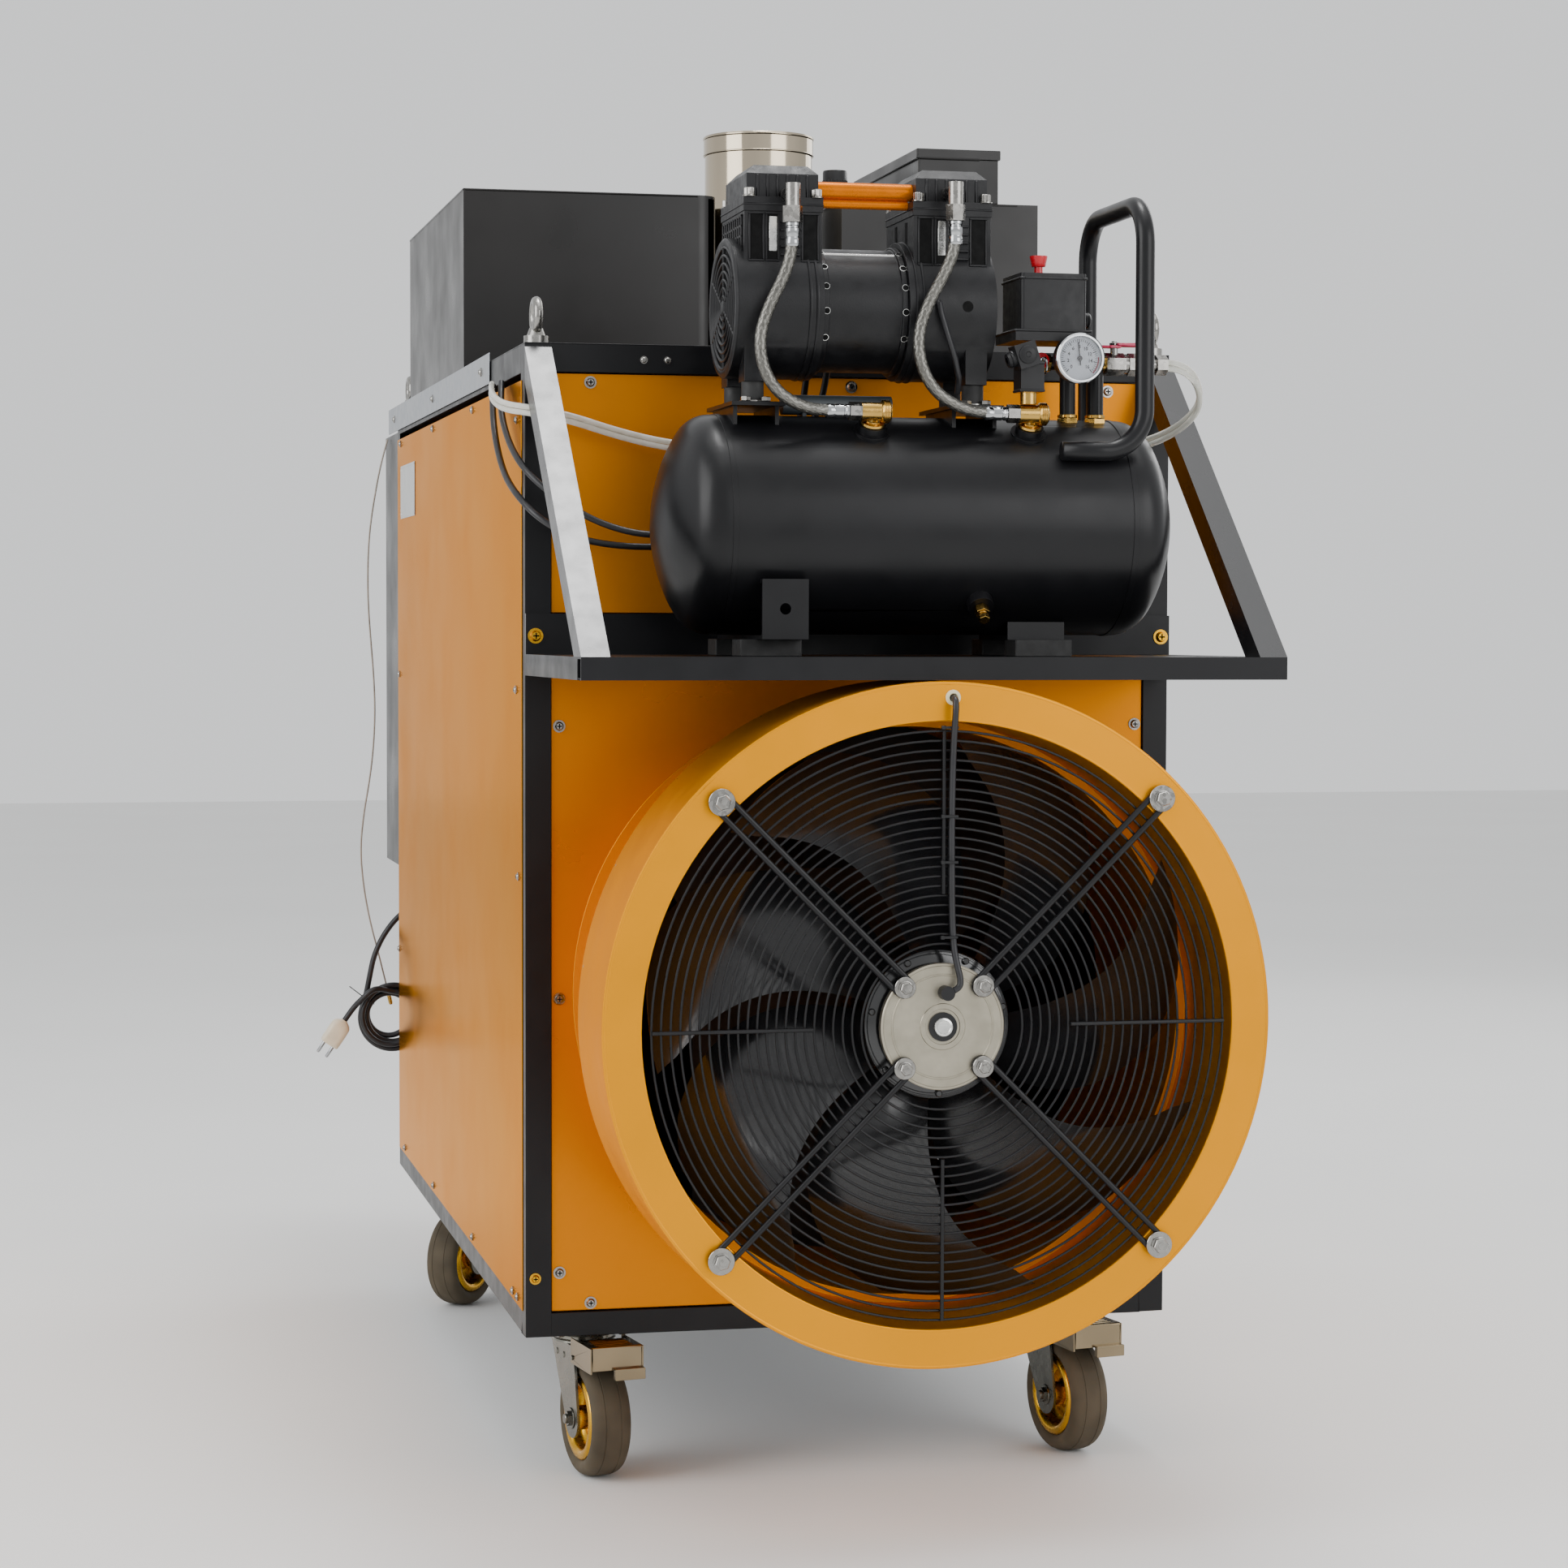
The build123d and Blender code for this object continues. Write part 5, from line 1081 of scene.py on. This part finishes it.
def connector_details():
    """Cable boss, corner screw and gasket of the solenoid's tilted connector."""
    (_, y, z), _ = around(0, RECEIVER_Z, 132, VALVE_TILT)
    c = (109.0, y - 11, z + 57)
    tilt = radians(-18)
    yield lathe(c, (-cos(tilt), 0, sin(tilt)), [(8.4, 9), (8.4, 14), (7.6, 15), (8.4, 16.5), (7, 19),
        (3.6, 19.4)], 28)
    yield lathe(c, FRONT, [(9, 10), (9, 12.2), (7.6, 13.2), (3, 13.4), (2.4, 12.6), (0, 12.6)], 32)
    for dz in (-13.5, 13.5):
        yield slab(103.2, 128.8, y - 15.8, y + 11.8, z + 36 + dz - 1.2, z + 36 + dz + 1.2, 0.6)


piece("solenoid_connector_trim", connector_details(), PLASTIC_BLACK, smooth=35)


def breather():
    """Ribbed cap over the burner box's vent."""
    x, y, foot = 147, 700, 1256
    yield lathe((x, y, foot), UP, [(15, 0), (18, 0.4), (18, 5), (15.4, 6), (15.4, 60), (14, 61.9),
        (0, 61.9)], 48)
    for k in range(24):
        u, v = x + 15.2 * cos(radians(15 * k)), y + 15.2 * sin(radians(15 * k))
        yield slab(u - 0.9, u + 0.9, v - 0.9, v + 0.9, foot + 10, foot + 50, 0.3)


piece("breather_cap_ribs", breather(), PLASTIC_BLACK)

MOTOR_CABLE = [(24.8, -248, 1064), (24.8, -252, 1062), (26, -254, 1052), (33, -254, 1030), (41, -252, 1008),
    (47, -244, 990), (49, -232, 976)]
motor_cable = tube([at(*point) for point in MOTOR_CABLE], 3.0, 16)
piece("motor_side_cable", [motor_cable], CABLE_BLACK)


# ---- cabinet details
def cross_slot_shade(centre, way, size, lift):
    """A screw's cross slot drawn as painted shade: a black cross standing a hair over its crown."""
    axis = Vector(way)
    u = Vector(UP)
    v = axis.cross(u)
    foot = Vector(centre) + axis * lift
    signs = ((-1, -1), (1, -1), (1, 1), (-1, 1))
    for along, across in ((u, v), (v, u)):
        yield wafer([foot + (along * i + across * 0.24 * j) * size for i, j in signs], axis, 0.15, 0.4)


def every_slot_shade():
    """Painted shade in the cross slots of the panel, corner, side and roof-angle screws."""
    for x in (-281, -2, 281):
        yield from cross_slot_shade((x, 3, 997), FRONT, 2.6, 4.0)
        yield from cross_slot_shade((x, 3, 34), FRONT, 2.6, 4.0)
    for z in (67, 355, 640):
        for x in (-314, 314):
            yield from cross_slot_shade((x, 3, z), FRONT, 2.6, 4.0)
    for x in (-340, 340):
        yield from cross_slot_shade((x, 0, 62), FRONT, 2.4, 4.0)
        yield from cross_slot_shade((x, -6, 734), FRONT, 3.2, 6.0)
    for side in (-1, 1):
        out = (side, 0, 0)
        for y, z in ((404, 992), (785, 992), (1150, 992), (40, 481), (56, 677), (1172, 679), (1182, 301),
                (85, 34), (417, 34), (795, 34), (1120, 34), (50, 34), (50, 960)):
            yield from cross_slot_shade((side * 351.2, y, z), out, 1.9, 3.0)
        for y in (320, 776, 1214):
            yield from cross_slot_shade((side * 352.4, y, 1029), out, 2.1, 3.0)


piece("screw_slot_painted_shade", every_slot_shade(), PAINTED_SHADE_BLACK, smooth=0)


def plate_trim():
    """Raised rim and corner rivets of the blank rating plate."""
    for y0, y1, z0, z1 in ((983, 1143, 957.6, 959), (983, 1143, 892, 893.4), (983, 984.4, 892, 959),
            (1141.6, 1143, 892, 959)):
        yield slab(-352.35, -351.9, y0, y1, z0, z1, 0.15)
    for y in (987, 1139):
        for z in (896, 955):
            yield lathe((-351.9, y, z), LEFT, [(2.4, 0), (2.2, 0.5), (1.2, 0.9), (0, 1.0)], 18)


piece("rating_plate_rim", plate_trim(), PLATE_SILVER)

piece("fan_ring_lip", [hoop((0, -363.2, FAN_Z), REAR, 329.4, 2.2, 160)], AMBER)
piece("fan_ring_inner_lip", [hoop((0, -363.6, FAN_Z), REAR, 294.6, 1.6, 160)], AMBER)
STATOR_FACE = (0, -365.05, FAN_Z)
piece("stator_face_rings", [lathe(STATOR_FACE, FRONT, [(49, 0), (49.4, 0.5), (50.6, 0.5), (51, 0)], 96),
    lathe(STATOR_FACE, FRONT, [(58.4, 0), (59, 0.8), (60.4, 0.9), (61.2, 0.2)], 96),
    lathe(STATOR_FACE, FRONT, [(17, 0), (17.4, 0.8), (22, 0.8), (22.6, 0)], 64)], STATOR)
piece("axle_nose_cone", [lathe((0, -369.3, FAN_Z), FRONT, [(9, 0), (8.6, 0.8), (6.8, 1.4), (6.2, 0.8),
    (2, 0.6), (0, 0.6)], 40)], BRIGHT_ALUMINIUM)
piece("flue_rolled_rim", [hoop((32, 625, 1342.6), UP, 66.2, 2.3, 120, 12), hoop((32, 625, 1322.5), UP, 67.0,
    1.2, 120)], FLUE)


def roof_details():
    """Folded edges of the roof boxes."""
    for x0, x1, y0, y1, z in ((-350, -45, 490, 1043, 1256), (105, 350, 490, 810, 1256),
            (105, 350, 490, 810, 1042), (198, 302, 488, 807, 1310)):
        yield rod((x0 + 2, y0 + 0.6, z - 1.4), (x1 - 26, y0 + 0.6, z - 1.4), 1.5)
        yield rod((x0 + 0.6, y0 + 2, z - 1.4), (x0 + 0.6, y1 - 2, z - 1.4), 1.5)


piece("roof_box_seams", roof_details(), BOX_BLACK)

# ---- CAD nodes that show
dress("cabinet_frame", FRAME_BLACK, 0.002, [(lambda x, y, z: z < -0.05, ZINC),
    (lambda x, y, z: 7.9 < z < 9.6 and 30 < y < 1165 and abs(x) < 300, GALVANISED)])
dress("side_panels", SIDE_YELLOW, 0.0004, [(lambda x, y, z: x < -351.3 and 980 < y < 1146 and 889 < z < 962,
    PLATE_SILVER)])
dress("front_panels", YELLOW, 0.0012)
dress("rear_panel", YELLOW, 0.001, [(lambda x, y, z: y > 1197 and hypot(x - 140, z - 620) > 155,
    GALVANISED)])
dress("top_deck", FRAME_BLACK, 0.0004)
dress("roof_angles", GALVANISED, 0.0004)
dress("panel_screws", ZINC, 0.0004, [(lambda x, y, z: abs(x) > 332 and y < 8 and z < 760, GOLD_ZINC)])
dress("heat_exchanger", DARK_STEEL, 0.0006)
for name in ("burner", "burner_box", "air_box"):
    dress(name, BOX_BLACK, 0.002)
dress("fan_shroud", AMBER, 0.0006)
dress("fan_stator", STATOR, 0.0005, [(lambda x, y, z: y < -367.4 and hypot(x, z - FAN_Z) < 9.2,
    BRIGHT_ALUMINIUM), (lambda x, y, z: y < -365.05 and hypot(x, z - FAN_Z) < 14.3, PLASTIC_BLACK),
    (lambda x, y, z: y < -365.05 and z > FAN_Z + 24, PLASTIC_BLACK), (lambda x, y, z: y > -352,
    DARK_STEEL)])
dress("compressor_shelf", FRAME_BLACK, 0.002, [(lambda x, y, z: z > 722 and abs(x) > 318, BRACE_BLACK)])
dress("lifting_eyes", ZINC, 0.0006)
dress("oil_tank", BOX_BLACK, 0.003)
dress("flue_stack", FLUE, 0.0004)
dress("control_box", BOX_BLACK, 0.002, [(lambda x, y, z: z < 414.5, PLASTIC_BLACK)])
dress("receiver", TANK_BLACK, 0.0008)
for name in ("receiver_pads", "pump_feet"):
    dress(name, RUBBER_BLACK, 0.0015)
dress("receiver_handle", TANK_BLACK, 0)
dress("motor_case", CAST_BLACK, 0.001)
dress("crankcases", CAST_BLACK, 0.0025)
dress("cylinder_heads", CAST_BLACK, 0.0015, [(lambda x, y, z: y < -238.2 or (z > 1165
    and abs(abs(abs(x + 43) - 85.5) - 34.2) < 5.4 and abs(abs(y + 180) - 52) < 5.3 and z < 1172.2), ZINC)])
dress("crossover_pipe", ORANGE, 0.0003)
dress("pump_rotor", DARK_STEEL, 0.0006)
dress("check_valves", BRASS, 0.0006, [(lambda x, y, z: -67.5 < x < -55.2 or 93.5 < x < 105.8, ZINC)])
dress("switch_manifold", TANK_BLACK, 0.0006, [(lambda x, y, z: x < 145 and y < -207.5, RED),
    (lambda x, y, z: 159 < x < 171 and y < -208.4, BRASS), (lambda x, y, z: x > 208.1 and abs(z - 1010) < 9,
    BRASS)])
dress("pressure_switch", PLASTIC_BLACK, 0.0015)
dress("gauge", CHROME, 0.0003, [(lambda x, y, z: -264.4 < y < -263.5 and hypot(x - 165, z - 1010) < 22.1,
    DIAL), (lambda x, y, z: y > -269 and hypot(x - 165, z - 1010) > 23.5, PLASTIC_BLACK)])
dress("gauge_needle", INK, 0.0001)
dress("ball_valve", ZINC, 0.0007)
dress("valve_lever", LEVER_RED, 0.0006)
dress("solenoid_valve", PLASTIC_BLACK, 0.0015, [(lambda x, y, z: z < 976.8, BRASS)])
dress("capacitor", CAPACITOR, 0.0012)
dress("drain_cock", BRASS, 0.0006)
dress("safety_ring", CHROME, 0)
for spot, _, _, _ in SPOTS:
    dress(f"caster_fork_{spot}", CASTER_STEEL, 0.0008)
for spot in ("fl", "fr"):
    dress(f"caster_pedal_{spot}", PEDAL_STEEL, 0.0008)

# ---- floor and light
floor_material = surface("floor_pale", (0.80, 0.80, 0.79), (0.55, 0.7), vary=0.015, patch=1.2, grain=60.0,
    relief=0.0001, spec=0.25)
floor_mesh = bpy.data.meshes.new("floor")
floor_mesh.from_pydata([(-14, -14, 0), (14, -14, 0), (14, 14, 0), (-14, 14, 0)], [], [(0, 1, 2, 3)])
floor_mesh.materials.append(floor_material)
floor = bpy.data.objects.new("floor", floor_mesh)
bpy.context.scene.collection.objects.link(floor)


def soft_light(name, spot, aim, width, height, watts):
    data = bpy.data.lights.new(name, "AREA")
    data.shape = "RECTANGLE"
    data.size = width
    data.size_y = height
    data.energy = watts
    lamp = bpy.data.objects.new(name, data)
    lamp.location = spot
    lamp.rotation_euler = (Vector(aim) - Vector(spot)).to_track_quat("-Z", "Y").to_euler()
    bpy.context.scene.collection.objects.link(lamp)


soft_light("key_left", (-3.6, -1.6, 2.4), (0, 0, 0.8), 2.6, 3.2, 105)
soft_light("fill_front", (2.6, -4.2, 2.2), (0, -0.3, 0.8), 3.0, 2.6, 78)
soft_light("top", (0.3, -0.6, 4.6), (0, 0, 0), 3.4, 3.4, 45)
soft_light("brace_glint", (0.23, -0.15, 4.5), (-0.34, -0.67, 1.0), 1.0, 0.9, 62)
soft_light("rear_right", (3.4, 2.6, 2.8), (0, 0, 0.9), 2.4, 2.4, 50)

world = bpy.data.worlds.new("studio")
world.use_nodes = True
world.node_tree.nodes["Background"].inputs["Color"].default_value = (0.93, 0.94, 0.95, 1)
world.node_tree.nodes["Background"].inputs["Strength"].default_value = 1.05
bpy.context.scene.world = world
